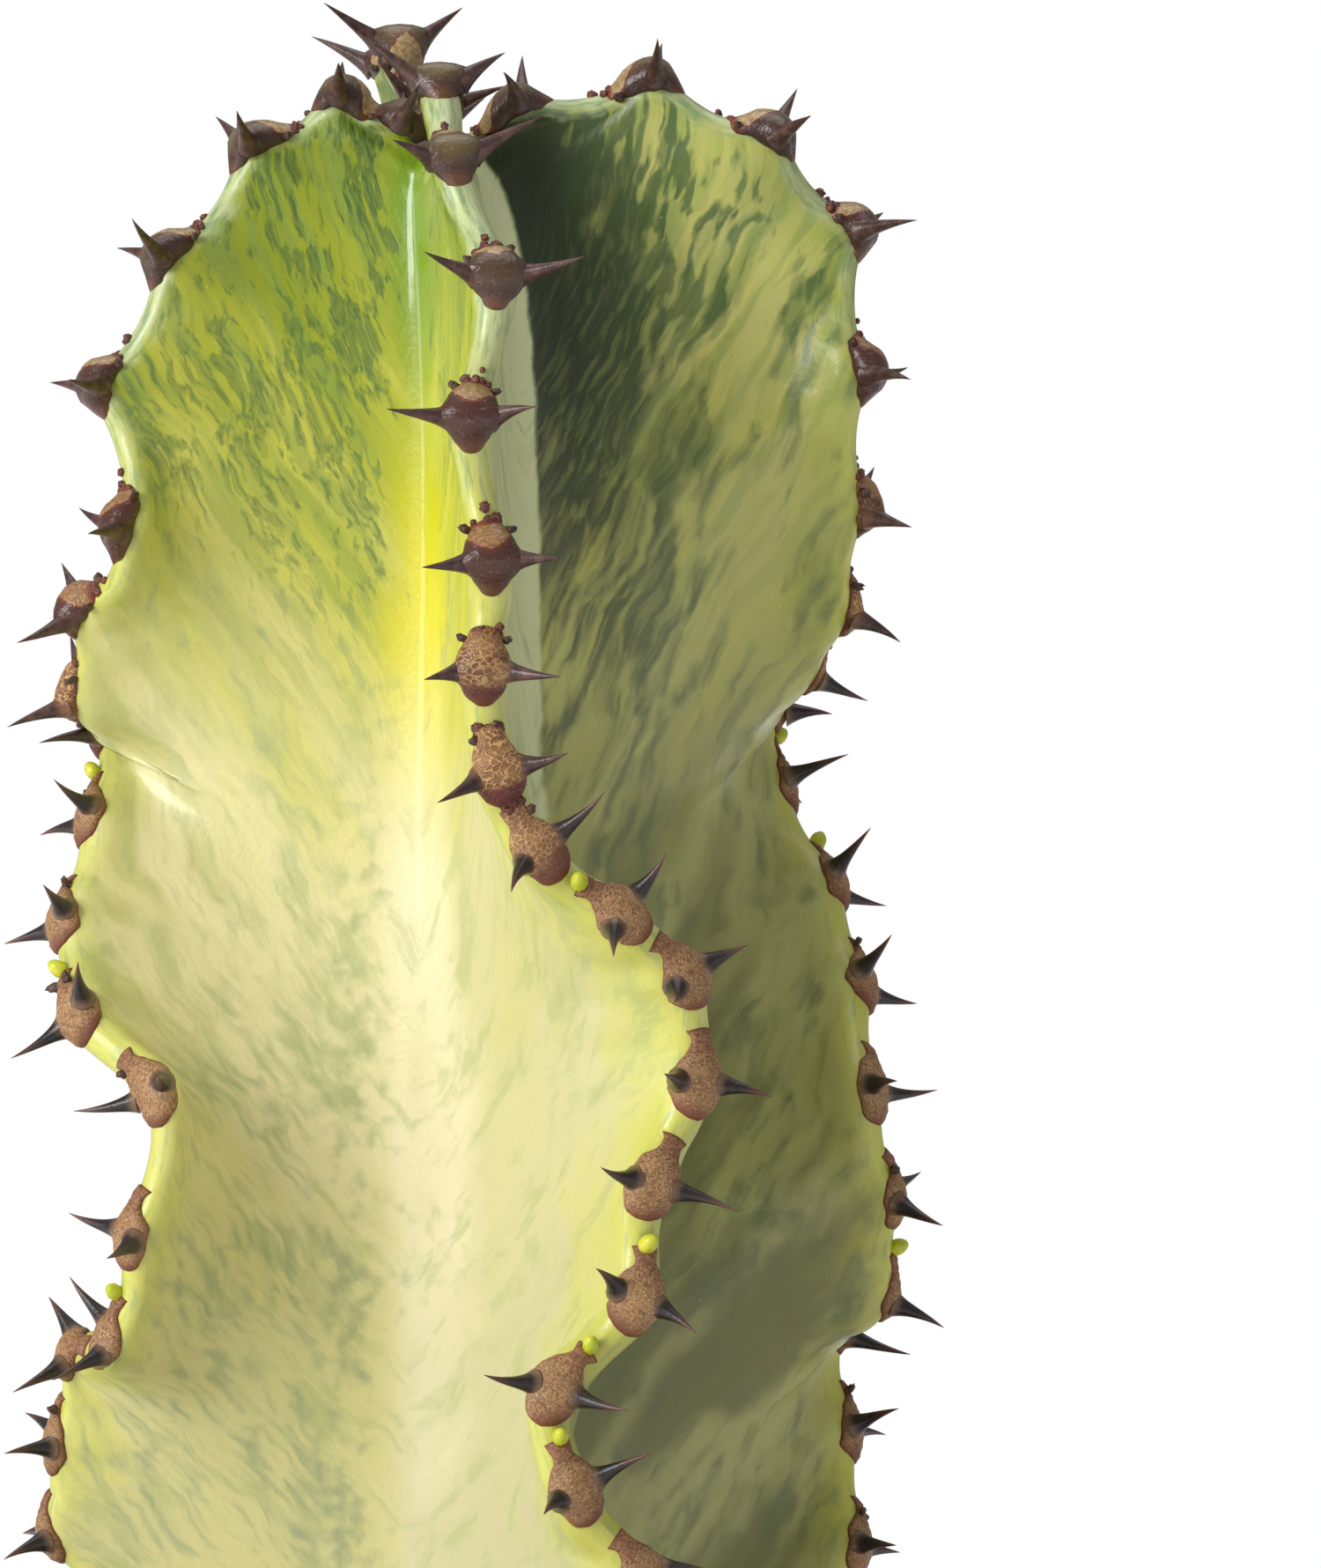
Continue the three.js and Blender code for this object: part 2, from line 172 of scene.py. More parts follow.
class Rib:
    """A rib's edge as a curve by its length from the tip, with the places of its shields along it."""

    STEPS = 60

    def __init__(self, rib):
        angle = math.radians(rib["towards"])
        out = np.array([math.cos(angle), math.sin(angle), 0])
        across = np.array([-out[1], out[0], 0])
        self.towards = angle
        places = all_shields(rib) + [(SOIL_TOP, 17, 0), (FOOT["bottom"], FOOT["radius"], 0)]
        points = [TIP] + [out * reach + across * sway + (0, 0, height) for height, reach, sway in places]
        self.curve = centripetal(np.array(points), self.STEPS)
        chords = np.linalg.norm(np.diff(self.curve, axis=0), axis=1)
        self.lengths = np.concatenate([[0], np.cumsum(chords)])
        self.length = self.lengths[-1]
        self.shields = self.lengths[self.STEPS * np.arange(1, len(places) - 1)]

    def point(self, share):
        along = np.clip(share, 0, 1) * self.length
        return np.stack([np.interp(along, self.lengths, self.curve[:, i]) for i in range(3)], axis=-1)

    def calm(self, share, reach):
        """The edge without ripples shorter than a reach: the curve's mean up and down from each place."""
        step = np.minimum(reach / self.length, np.minimum(share, 1 - share) / CALM_STEPS)
        turns = range(-CALM_STEPS, CALM_STEPS + 1)
        return sum(self.point(share + i * step) for i in turns) / len(turns)

    def near_shield(self, along):
        distance = np.abs(self.shields[None, :] - np.asarray(along)[:, None]).min(axis=1)
        return np.exp(-((distance / SHIELD_REACH) ** 2))


def axis_at(height):
    back = np.exp(-np.maximum(0, TIP[2] - height) / AXIS_RETURN)
    return np.stack([TIP[0] * back, TIP[1] * back, height], axis=-1)


def edge_at(rib, share):
    """The edge at shares of its length: middle, ways to the tip, outward and across, and half width."""
    along = share * rib.length
    middle = rib.point(share)
    step = 0.6 / rib.length
    tipward = unit(rib.point(share - step) - rib.point(share + step))
    away = middle - axis_at(middle[:, 2])
    away[:, 2] = OUTWARD_LIFT
    outward = unit(away - (away * tipward).sum(axis=1, keepdims=True) * tipward)
    across = np.cross(tipward, outward)
    age = between(along, *EDGE_AGES)
    on = rib.near_shield(along)
    grown = 1 - np.exp(-along / EDGE_TIP_GROWTH)
    gap = mix(YOUNG_EDGE["between"], OLD_EDGE["between"], age)
    shield = mix(YOUNG_EDGE["shield"], OLD_EDGE["shield"], age)
    dip = mix(YOUNG_EDGE["dip"], OLD_EDGE["dip"], age)
    to_foot = 1 - between(middle[:, 2], FOOT_BLEND[1], FOOT_BLEND[0])
    half = mix(gap, shield, on) * grown + FOOT_SWELL * to_foot
    calmer = [middle] + [rib.calm(share, ripple["reach"]) for ripple in RIPPLES]
    edge = dict(tipward=tipward, outward=outward, across=across, half=half, age=age, bare=middle,
                calm=calmer[-1])
    edge["ripples"] = [rough - calm for rough, calm in zip(calmer, calmer[1:])]
    edge["middle"] = middle - outward * (dip * (1 - on) * grown * (1 - to_foot))[:, None]
    return edge


def cap_point(edge, turn):
    angle = turn * math.pi / 2
    half = edge["half"][:, None]
    fall = edge["outward"] * half * (1 - math.cos(angle))
    return edge["middle"] - fall + edge["across"] * half * math.sin(angle)


def keep(side, rounding):
    def bend(x):
        return (np.sqrt(x * x + rounding * rounding) + x) / 2
    return bend(side) - bend(-1.0)


def grow_sections(ribs, share):
    """The stem's sections at shares of the edges' length: a grid of points, sections by places round them."""
    edges = [edge_at(rib, share) for rib in ribs]
    mean_length = sum(rib.length for rib in ribs) / len(ribs)
    along = share * mean_length
    lift = CORE["lift"] * (1 - np.exp(-along / CORE["lift_growth"]))
    age = between(along, *CORE_AGES)
    columns = []
    for i, edge in enumerate(edges):
        after = edges[(i + 1) % len(edges)]
        height = (edge["calm"][:, 2] + after["calm"][:, 2]) / 2
        to_foot = 1 - between(height, FOOT_BLEND[1], FOOT_BLEND[0])
        radius = mix(mix(CORE["slim"], CORE["stout"], age), FOOT["radius"], to_foot)
        radius = radius * (1 - np.exp(-along / CORE["tip_growth"]))
        rounding = mix(mix(ROUNDING["slim"], ROUNDING["stout"], age), ROUNDING["foot"], to_foot)
        angle = ribs[i].towards + math.pi / 4
        valley = axis_at(height - lift * (1 - to_foot))
        valley = valley + radius[:, None] * np.array([math.cos(angle), math.sin(angle), 0])
        start, end = edge["calm"], after["calm"]
        half_way = keep(0.0, rounding)[:, None]
        corner = (valley - (start + end) * half_way) / (1 - 2 * half_way)
        own_waves = [cap_point(edge, 1) - edge["bare"]] + edge["ripples"]
        other_waves = [cap_point(after, -1) - after["bare"]] + after["ripples"]
        for turn in np.linspace(-1, 1, CAP_COLUMNS):
            columns.append(cap_point(edge, turn))
        for side in FLANK_SIDES:
            point = corner + (start - corner) * keep(side, rounding)[:, None]
            point = point + (end - corner) * keep(-side, rounding)[:, None]
            for fade, own, other in zip(FADES, own_waves, other_waves):
                point = point + own * max(0, side) ** fade + other * max(0, -side) ** fade
            columns.append(point)
    return np.stack(columns, axis=1)


def flank_sides():
    """Places across the two flanks between two edges, closer together in the valley and beside the edges."""
    x = np.linspace(1, -1, FLANK_COLUMNS + 2)[1:-1]
    return x - 0.5 * np.sin(2 * math.pi * x) / (2 * math.pi)


FLANK_SIDES = flank_sides()


def add_object(name, data):
    """An object of the scene for a mesh, a lamp or a camera."""
    holder = bpy.data.objects.new(name, data)
    bpy.context.scene.collection.objects.link(holder)
    return holder


def new_object(name, points, faces, smooth_shading=True, **values):
    """A mesh object from points in millimetres, with named numbers or vectors that its material reads."""
    mesh = bpy.data.meshes.new(name)
    mesh.from_pydata((points * MM).tolist(), [], faces)
    mesh.validate()
    mesh.polygons.foreach_set("use_smooth", [smooth_shading] * len(mesh.polygons))
    for key, numbers in values.items():
        kind, field = ("FLOAT_VECTOR", "vector") if numbers.ndim > 1 else ("FLOAT", "value")
        mesh.attributes.new(key, kind, "POINT").data.foreach_set(field, numbers.ravel())
    mesh.update()
    return add_object(name, mesh)


def numbered(rows, columns):
    """The numbers of the points of a grid."""
    return np.arange(rows * columns).reshape(rows, columns)


def closed(index):
    """A grid with its first column again as its last one."""
    return np.hstack([index, index[:, :1]])


def quads(index):
    """Faces between the neighbours in a grid of point numbers."""
    corners = (index[:-1, :-1], index[:-1, 1:], index[1:, 1:], index[1:, :-1])
    return np.stack(corners, axis=-1).reshape(-1, 4).tolist()


def fan(centre, ring):
    """Triangles from a point to each side of a closed ring."""
    return [(centre, int(a), int(b)) for a, b in zip(ring, np.roll(ring, -1))]


class Bunch:
    """One piece gathered from many small shapes, with named numbers for their points."""

    def __init__(self):
        self.points, self.faces, self.values, self.count = [], [], {}, 0

    def add(self, points, faces, **values):
        points = points.reshape(-1, 3)
        self.points.append(points)
        self.faces += [[self.count + i for i in face] for face in faces]
        self.count += len(points)
        for key, value in values.items():
            rows = value if np.ndim(value) > 1 else np.broadcast_to(value, len(points))
            self.values.setdefault(key, []).append(rows)

    def build(self, name, smooth_shading=True):
        values = {key: np.concatenate(rows) for key, rows in self.values.items()}
        return new_object(name, np.vstack(self.points), self.faces, smooth_shading, **values)


def softened(grid, passes=6):
    """The grid with the creases where a rounded edge meets a flank smoothed away."""
    for _ in range(passes):
        grid = (np.roll(grid, 1, axis=1) + 2 * grid + np.roll(grid, -1, axis=1)) / 4
    return grid


def grid_normals(grid):
    """Outward normals of the skin's grid of points."""
    around = (np.roll(grid, -1, axis=1) - np.roll(grid, 1, axis=1)) / 2
    return unit(np.cross(np.gradient(grid, axis=0), around))


class Skin:
    """The skin's grid of points, with each one's distances along the stem, from its valley and its edge."""

    PER_RIB = CAP_COLUMNS + FLANK_COLUMNS
    CREST = CAP_COLUMNS // 2
    VALLEY = CAP_COLUMNS + FLANK_COLUMNS // 2

    def __init__(self):
        self.ribs = [Rib(rib) for rib in RIBS]
        self.share = np.linspace(0.002, 1, SKIN_ROWS)
        grid = softened(grow_sections(self.ribs, self.share))
        at_foot = between(grid[..., 2:], FOOT_CALM[1], FOOT_CALM[0])
        grid = mix(grid, softened(grid, FOOT_PASSES), at_foot)
        self.measure(grid)
        self.grid = grid + grid_normals(grid) * self.pleats()[..., None]
        self.normals = grid_normals(self.grid)

    def measure(self, grid):
        """The places of the points in their sectors. A sector reaches from one rib's crest to the next."""
        rows = len(grid)
        steps = np.linalg.norm(np.roll(grid, -1, axis=1) - grid, axis=2)
        steps = np.roll(steps, -self.CREST, axis=1).reshape(rows, 4, self.PER_RIB)
        ends = np.cumsum(steps, axis=2)
        place = ends - steps
        depth = place - place[..., self.VALLEY - self.CREST, None]
        edge = np.minimum(place, ends[..., -1:] - place)
        sector = np.arange(4.0)[:, None] + 0 * place
        self.depth, self.edge, self.sector = (
            np.roll(values.reshape(rows, -1), self.CREST, axis=1) for values in (depth, edge, sector))
        mean_length = sum(rib.length for rib in self.ribs) / 4
        self.along = (self.share * mean_length)[:, None] + 0 * self.depth

    def build(self):
        index = numbered(*self.depth.shape)
        points = np.vstack([self.grid.reshape(-1, 3), TIP, (0, 0, FOOT["bottom"])])
        faces = fan(index.size, index[0]) + fan(index.size + 1, index[-1][::-1]) + quads(closed(index).T)
        values = dict(along=self.along, depth=self.depth, edge=self.edge, sector=self.sector,
                      flow=self.flow(), band=self.band())
        for key, grid in values.items():
            rows = grid.reshape(index.size, *grid.shape[2:])
            values[key] = np.concatenate([rows, 0 * rows[:2]])
        return new_object("skin", points, faces, **values)

    def band(self):
        """Places for the lines on the edges: across an edge, along it, and which edge."""
        nearest = np.where(self.depth < 0, self.sector, (self.sector + 1) % 4)
        across = np.where(self.depth < 0, self.edge, -self.edge)
        return np.stack([across, self.along, 30 * nearest], axis=-1)

    def flow(self):
        """Places for the streaks, which run from the edges down and in to the valleys: across one and along it."""
        rise = mix(STREAK_RISE["young"], STREAK_RISE["old"], between(self.along, *STREAK_RISE["ages"]))
        rise = rise * ((np.abs(self.depth) + STREAK_START) / STREAK_REACH) ** STREAK_CURVE
        return np.stack([self.along + rise, self.depth, 90 * self.sector], axis=-1)

    def pleats(self):
        """Soft pleats that run in from the edges and die out on the flanks."""
        slant = self.along + 0.7 * self.edge
        turn = 2 * math.pi * slant / PLEAT["pitch"]
        turn = turn + 1.6 * np.sin(slant * 0.11 + self.sector) + self.depth * 0.05
        fade = np.exp(-self.edge / PLEAT["reach"]) * between(self.edge, 1.5, 5)
        strength = 0.6 + 0.4 * np.sin(slant * 0.083 + 2.1 * self.sector)
        return PLEAT["height"] * np.sin(turn) * fade * strength


class Areole:
    """One spine shield's place on a rib's edge, with its two spines, drawn in the solids' order."""

    def __init__(self, skin, k, index, draw):
        rib = skin.ribs[k]
        self.rib = k
        self.along = rib.shields[index]
        edge = edge_at(rib, np.array([self.along / rib.length]))
        self.middle, self.up, self.out, self.across = (edge[key][0] for key in
                                                       ("middle", "tipward", "outward", "across"))
        self.age = float(between(self.along, *SHIELD_AGES))
        length = mix(SPINE["young"], SPINE["old"], edge["age"][0])
        self.spines = [self.spine(side, length, draw) for side in (-1, 1)]
        has_bud = self.along > BUD["start"] and draw() < BUD["share"]
        self.bud = has_bud and self.middle[2] > FOOT_BLEND[0]

    def spine(self, side, length, draw):
        spread = math.radians(SPINE["spread"] + SPINE_JITTER["spread"] * (2 * draw() - 1))
        length = length * (1 + SPINE_JITTER["length"] * (2 * draw() - 1))
        lean = SPINE_JITTER["lean"] * (draw() - 0.5)
        way = unit(self.across * side * math.sin(spread) + self.up * lean + self.out * math.cos(spread))
        tip = self.middle + self.across * side * SPINE["side"] + way * (length - SPINE["root"] - 0.2)
        return dict(side=side, way=way, tip=tip)


def all_areoles(skin):
    draw = Draw(SPINE_SEED)
    return [Areole(skin, k, i, draw) for k, rib in enumerate(skin.ribs) for i in range(len(rib.shields))]


class EdgeSurface:
    """Points of the skin beside a rib's edge, by distance along the edge and distance across it."""

    REACH = 15

    def __init__(self, skin, k):
        middle = k * skin.PER_RIB + skin.CREST
        columns = np.arange(middle - self.REACH, middle + self.REACH + 1) % skin.grid.shape[1]
        self.points = skin.grid[:, columns]
        self.normals = skin.normals[:, columns]
        self.length = skin.ribs[k].length
        self.first, self.last = skin.share[0], skin.share[-1]

    def row(self, along, across):
        """Points and normals at distances across the edge, at one distance along it."""
        rows = len(self.points) - 1
        place = np.clip((along / self.length - self.first) / (self.last - self.first), 0, 1) * rows
        low = min(int(place), rows - 1)
        line, normals = (mix(v[low], v[low + 1], place - low) for v in (self.points, self.normals))
        steps = np.concatenate([[0], np.cumsum(np.linalg.norm(np.diff(line, axis=0), axis=1))])
        steps -= steps[self.REACH]
        at = [np.stack([np.interp(across, steps, v[:, i]) for i in range(3)], axis=-1) for v in (line, normals)]
        return at[0], unit(at[1])


# Outlines of a shield, from its lower end to its upper end along the edge, with half its width there. The
# young one is a broad egg. The old one has a neck and two ears, which hold the buds.
YOUNG_SHIELD = [(-4.3, 0), (-4.0, 0.9), (-3.3, 1.6), (-2.5, 2.2), (-1.5, 2.7), (-0.3, 3.1), (1.0, 3.2),
                (2.4, 3.0), (3.6, 2.6), (4.6, 2.0), (5.3, 0)]
OLD_SHIELD = [(-4.5, 0), (-4.2, 1.6), (-3.5, 2.7), (-2.4, 3.5), (-1.1, 3.9), (0.3, 3.95), (1.6, 3.6),
              (2.6, 2.9), (3.4, 2.1), (4.1, 1.45), (5.0, 1.25), (5.7, 1.5), (6.3, 1.9), (6.6, 0)]
SHIELD_ROWS = 26
SHIELD_COLUMNS = 15


def outline(points, share):
    """Where an outline's end is and how wide it is, at shares of the way from its lower to its upper end."""
    places, widths = np.array(points).T
    even = np.linspace(0, 1, len(places))
    return np.interp(share, even, places), np.interp(share, even, widths)


def tip_stretch(areole):
    """How much longer a shield is above its spines near the tip."""
    return 1 + 0.35 * (1 - areole.age) * float(between(areole.along, 65, 25))


def shield_outline(areole):
    """Places along a shield, from its lower to its upper end, with half its width at each."""
    share = np.linspace(0, 1, SHIELD_ROWS)
    young, old = outline(YOUNG_SHIELD, share), outline(OLD_SHIELD, share)
    places, widths = (mix(a, b, areole.age) for a, b in zip(young, old))
    return np.where(places > 0, places * tip_stretch(areole), places), widths


def spine_foot(areole):
    """How far from a shield's middle its spines stand."""
    return mix(1.9, 2.4, areole.age)


# How a shield rises from its rim, swells at its belly and climbs its spines, when young and when old.
PLATE = dict(end_slope=(1.7, 4), end_power=(0.75, 0.5), side_power=(2.4, 5), dome=(1.35, 0.8),
             belly=(1.0, 0.35), belly_place=(1.2, 0.0), cone=(2.6, 1.2), cone_reach=(1.2, 0.9))
BELLY_REACH = 3.0
PLATE_SINK = 0.12
PLATE_DEPTH = 0.9


def shield_mesh(areole, surface, number, phases):
    """A shield's points, a closed plate grown onto the skin, with their places on it and nearness to its rim."""
    shape = {key: mix(*pair, areole.age) for key, pair in PLATE.items()}
    share = np.linspace(0, 1, SHIELD_ROWS)
    places, widths = shield_outline(areole)
    turn = np.sin(np.linspace(-1, 1, SHIELD_COLUMNS) * math.pi / 2)
    wobble = 1 + 0.05 * np.sin(share * 17 + phases[0]) + 0.04 * np.sin(share * 31 + phases[1])
    top, under, pads, rims = [], [], [], []
    for place, width in zip(places, widths * wobble):
        across = turn * width
        points, normals = surface.row(areole.along - place, across)
        from_end = 1 - abs(2 * (place - places[0]) / (places[-1] - places[0]) - 1)
        end = min(1, max(0, from_end) * shape["end_slope"]) ** shape["end_power"]
        rim = np.sqrt(np.clip(1 - np.abs(turn) ** shape["side_power"], 0, 1)) * end
        from_belly = (place - shape["belly_place"]) / BELLY_REACH
        belly = shape["belly"] * math.exp(-(from_belly ** 2)) * (1 - turn ** 2)
        grain = 0.10 * np.sin(across * 3.1 + place * 2.3 + phases[2])
        grain = grain * np.sin(place * 2.9 - across * 2.2 + phases[0])
        height = rim * (shape["dome"] + belly + grain * areole.age)
        raised = points + normals * (height[:, None] - PLATE_SINK)
        for spine in areole.spines:
            from_spine = np.hypot(across - spine["side"] * spine_foot(areole), place)
            cone = rim * shape["cone"] * np.exp(-from_spine / shape["cone_reach"])
            raised = raised + spine["way"] * cone[:, None]
        top.append(raised)
        under.append(points - normals * (PLATE_SINK + PLATE_DEPTH * rim)[:, None])
        even = place / tip_stretch(areole) if place > 0 else place
        pads.append(np.stack(np.broadcast_arrays(across, even, number), axis=-1))
        rims.append(1 - rim)
    return np.array([top, under]), np.array([pads, pads]), np.array([rims, np.ones_like(rims)])


def plate_faces(rows, columns):
    """Faces of a closed plate whose upper and lower sheets have rows by columns points each."""
    upper = numbered(rows, columns)
    lower = upper + upper.size
    rim = np.concatenate([upper[0], upper[1:, -1], upper[-1, -2::-1], upper[-2:0:-1, 0]])
    return quads(upper) + quads(lower.T) + quads(closed(np.array([rim, rim + upper.size])).T)


JOIN_REACH = 1e-6


def join_rims(piece):
    """Join the points that lie in one place, where a plate's two sheets meet at its rim and its ends."""
    shape = bmesh.new()
    shape.from_mesh(piece.data)
    bmesh.ops.remove_doubles(shape, verts=shape.verts, dist=JOIN_REACH)
    shape.to_mesh(piece.data)
    shape.free()


def make_shields(areoles, surfaces):
    chance = np.random.RandomState(11)
    faces = plate_faces(SHIELD_ROWS, SHIELD_COLUMNS)
    bunch = Bunch()
    for number, areole in enumerate(areoles):
        points, pad, rim = shield_mesh(areole, surfaces[areole.rib], number, chance.uniform(0, 6.28, 3))
        bunch.add(points, faces, pad=pad.reshape(-1, 3), rim=rim.ravel(), age=areole.age, along=areole.along)
    piece = bunch.build("shields")
    join_rims(piece)
    return piece


SPINE_SIDES = 14
SPINE_RINGS = 18
SPINE_TIP = 0.03
FLARE_REACH = 1.3


def spine_points(root, tip, bow, radius, flare):
    """Rings of a spine from its flared root to its point, a little bowed."""
    share = np.linspace(0, 1, SPINE_RINGS)[:, None] ** 1.4
    middle = (root + tip) / 2 + bow
    line = (1 - share) ** 2 * root + 2 * share * (1 - share) * middle + share ** 2 * tip
    straight = unit(tip - root)
    side = unit(np.cross(straight, (0.3, 0.2, 0.93)))
    other = np.cross(straight, side)
    from_root = share * np.linalg.norm(tip - root)
    thick = radius * (1 - share) + flare * np.exp(-from_root / FLARE_REACH) + SPINE_TIP
    angle = np.linspace(0, 2 * math.pi, SPINE_SIDES, endpoint=False)
    ring = np.cos(angle)[:, None] * side + np.sin(angle)[:, None] * other
    return line[:, None] + ring[None] * thick[:, None], share[:, 0]


# How high a spine stands on the skin, how thick it is and how much wider its root, when young and when old.
SPINE_SHAPE = dict(seat=(0.9, 0.7), radius=(1.15, 0.95), flare=(0.6, 0.7))


def on_edge(areole, surfaces, aside, above):
    """A point of the skin beside a shield and the skin's normal there."""
    points, normals = surfaces[areole.rib].row(areole.along - above, np.array([aside]))
    return points[0], normals[0]


def tube_faces(rings, sides):
    index = numbered(rings, sides)
    return quads(closed(index)) + [index[0][::-1].tolist(), index[-1].tolist()]


def make_spines(areoles, surfaces):
    chance = np.random.RandomState(5)
    faces = tube_faces(SPINE_RINGS, SPINE_SIDES)
    bunch = Bunch()
    for areole in areoles:
        seat, radius, flare = (mix(*pair, areole.age) for pair in SPINE_SHAPE.values())
        for spine in areole.spines:
            at, normal = on_edge(areole, surfaces, spine["side"] * spine_foot(areole), 0)
            bow = areole.up * chance.uniform(-0.7, 0.7) + areole.out * chance.uniform(-0.2, 0.5)
            rings, share = spine_points(at + normal * seat, spine["tip"], bow, radius, flare)
            bunch.add(rings, faces, reach=np.repeat(share, SPINE_SIDES), age=areole.age)
    return bunch.build("spines")


EGG_RINGS = 6
EGG_SIDES = 10


def egg_points(centre, up, side, radius, stretch):
    """A small egg: rings from its lower to its upper end, then the two end points."""
    out = np.cross(side, up)
    polar = math.pi * np.arange(1, EGG_RINGS + 1)[:, None, None] / (EGG_RINGS + 1)
    turn = 2 * math.pi * np.arange(EGG_SIDES)[:, None] / EGG_SIDES
    spread = np.sin(polar) * radius * (1 + 0.12 * np.cos(polar))
    end = up * radius * stretch
    rings = centre - end * np.cos(polar) + (side * np.cos(turn) + out * np.sin(turn)) * spread
    return np.vstack([rings.reshape(-1, 3), centre - end, centre + end])


def egg_faces():
    index = numbered(EGG_RINGS, EGG_SIDES)
    return fan(index.size, index[0][::-1]) + quads(closed(index)) + fan(index.size + 1, index[-1])


def make_eggs(name, places, rough=0.0):
    """A piece made of small eggs. Each place is a centre, a way up, a way sideways, a radius and a stretch."""
    chance = np.random.RandomState(31)
    faces = egg_faces()
    bunch = Bunch()
    for place in places:
        egg, centre = egg_points(*place), place[0]
        swell = 1 + rough * chance.uniform(-1, 1, (len(egg), 1))
        bunch.add(centre + (egg - centre) * swell, faces)
    return bunch.build(name)


BUD_PLACE = 6.7
BUD_GROUPS = [[(0, 0)], [(0.2, 0.2)], [(-0.2, 0.1)], [(-0.9, 0), (0.9, 0.3)]]


def bud_places(areoles, surfaces):
    chance = np.random.RandomState(3)
    places = []
    for areole in areoles:
        if not areole.bud:
            continue
        for aside, above in BUD_GROUPS[chance.randint(len(BUD_GROUPS))]:
            at, normal = on_edge(areole, surfaces, aside, BUD_PLACE + above)
            up = unit(normal + areole.up * chance.uniform(0.6, 1.0))
            side = unit(np.cross(up, areole.out + areole.across))
            places.append((at + normal * 0.8, up, side, chance.uniform(1.0, 1.15), 1.38))
    return places


def prickle_places(areoles, surfaces):
    """Two small dried prickles at the upper corners of each shield, worn away on the oldest."""
    chance = np.random.RandomState(23)
    places = []
    for areole in areoles:
        levels, widths = shield_outline(areole)
        for side in (-1, 1):
            worn = chance.rand() < areole.age * 0.75
            above = levels[-1] * chance.uniform(0.60, 0.80)
            aside = side * np.interp(above, levels, widths) * chance.uniform(0.8, 0.95)
            radius, stretch = chance.uniform(0.45, 0.65), chance.uniform(1.2, 2.0)
            if worn:
                continue
            at, normal = on_edge(areole, surfaces, aside, above)
            up = unit(normal + areole.across * side * 0.6 + areole.up * chance.uniform(0, 0.6))
            places.append((at + normal * 0.8, up, unit(np.cross(up, areole.up)), radius, stretch))
    return places


def nub_places(areoles, surfaces):
    """Small red nubs crowded round the top of each shield that isn't old yet, and one a little above it."""
    chance = np.random.RandomState(29)
    places = []
    for areole in areoles:
        top = shield_outline(areole)[0][-1]
        crowd = [(chance.uniform(-1.7, 1.7), top + chance.uniform(-1.1, 0.1)) for _ in range(8)]
        crowd.append((chance.uniform(-0.3, 0.6), top + chance.uniform(1.3, 1.9)))
        for aside, above in crowd:
            radius, stretch = chance.uniform(0.35, 0.7), chance.uniform(0.5, 1.1)
            apart = above > top + 1
            if areole.age > (0.15 if apart else 0.9):
                continue
            at, normal = on_edge(areole, surfaces, aside, above)
            up = unit(normal + 0.5 * areole.up)
            side = unit(np.cross(up, areole.across + areole.up))
            places.append((at + normal * 0.15, up, side, radius, stretch))
    return places


POT_SIDES = 192
SOIL_SIDES = 288
SOIL_ROWS = 54


def turns(sides):
    return np.linspace(0, 2 * math.pi, sides, endpoint=False)


def circle_points(radius, level, turn):
    return np.stack(np.broadcast_arrays(radius * np.cos(turn), radius * np.sin(turn), level), axis=-1)


def turned(name, rows):
    """A ring-shaped body from circles of points, whose profile closes on itself."""
    index = numbered(len(rows), len(rows[0]))
    return new_object(name, np.vstack(rows), quads(closed(closed(index).T).T))


def rounded(profile, radius, steps=4):
    """A closed profile with its corners rounded by arcs of up to a radius."""
    points = []
    profile = np.array(profile, float)
    for before, corner, after in zip(np.roll(profile, 1, axis=0), profile, np.roll(profile, -1, axis=0)):
        back, on = before - corner, after - corner
        reach = min(radius, 0.45 * np.linalg.norm(back), 0.45 * np.linalg.norm(on))
        start, end = corner + unit(back) * reach, corner + unit(on) * reach
        for i in range(steps + 1):
            t = i / steps
            points.append((1 - t) ** 2 * start + 2 * t * (1 - t) * corner + t ** 2 * end)
    return np.array(points)


def finer(profile, step):
    """The same closed profile with points no further apart than a step."""
    points = []
    for a, b in zip(profile, np.roll(profile, -1, axis=0)):
        count = max(1, int(math.ceil(np.linalg.norm(b - a) / step)))
        points += [mix(a, b, i / count) for i in range(count)]
    return np.array(points)


def pot_inside():
    height, wall, floor = POT["height"], POT["wall"], POT["floor"]
    collar = height - POT["rim_height"]
    return [(POT["rim"] - wall, height - 2), (POT["rim"] - wall - 0.5, collar + 4),
            (POT["shoulder"] - wall, collar - 4), (POT["foot"] - wall + 1, floor + 4),
            (POT["foot"] - wall - 3, floor)]


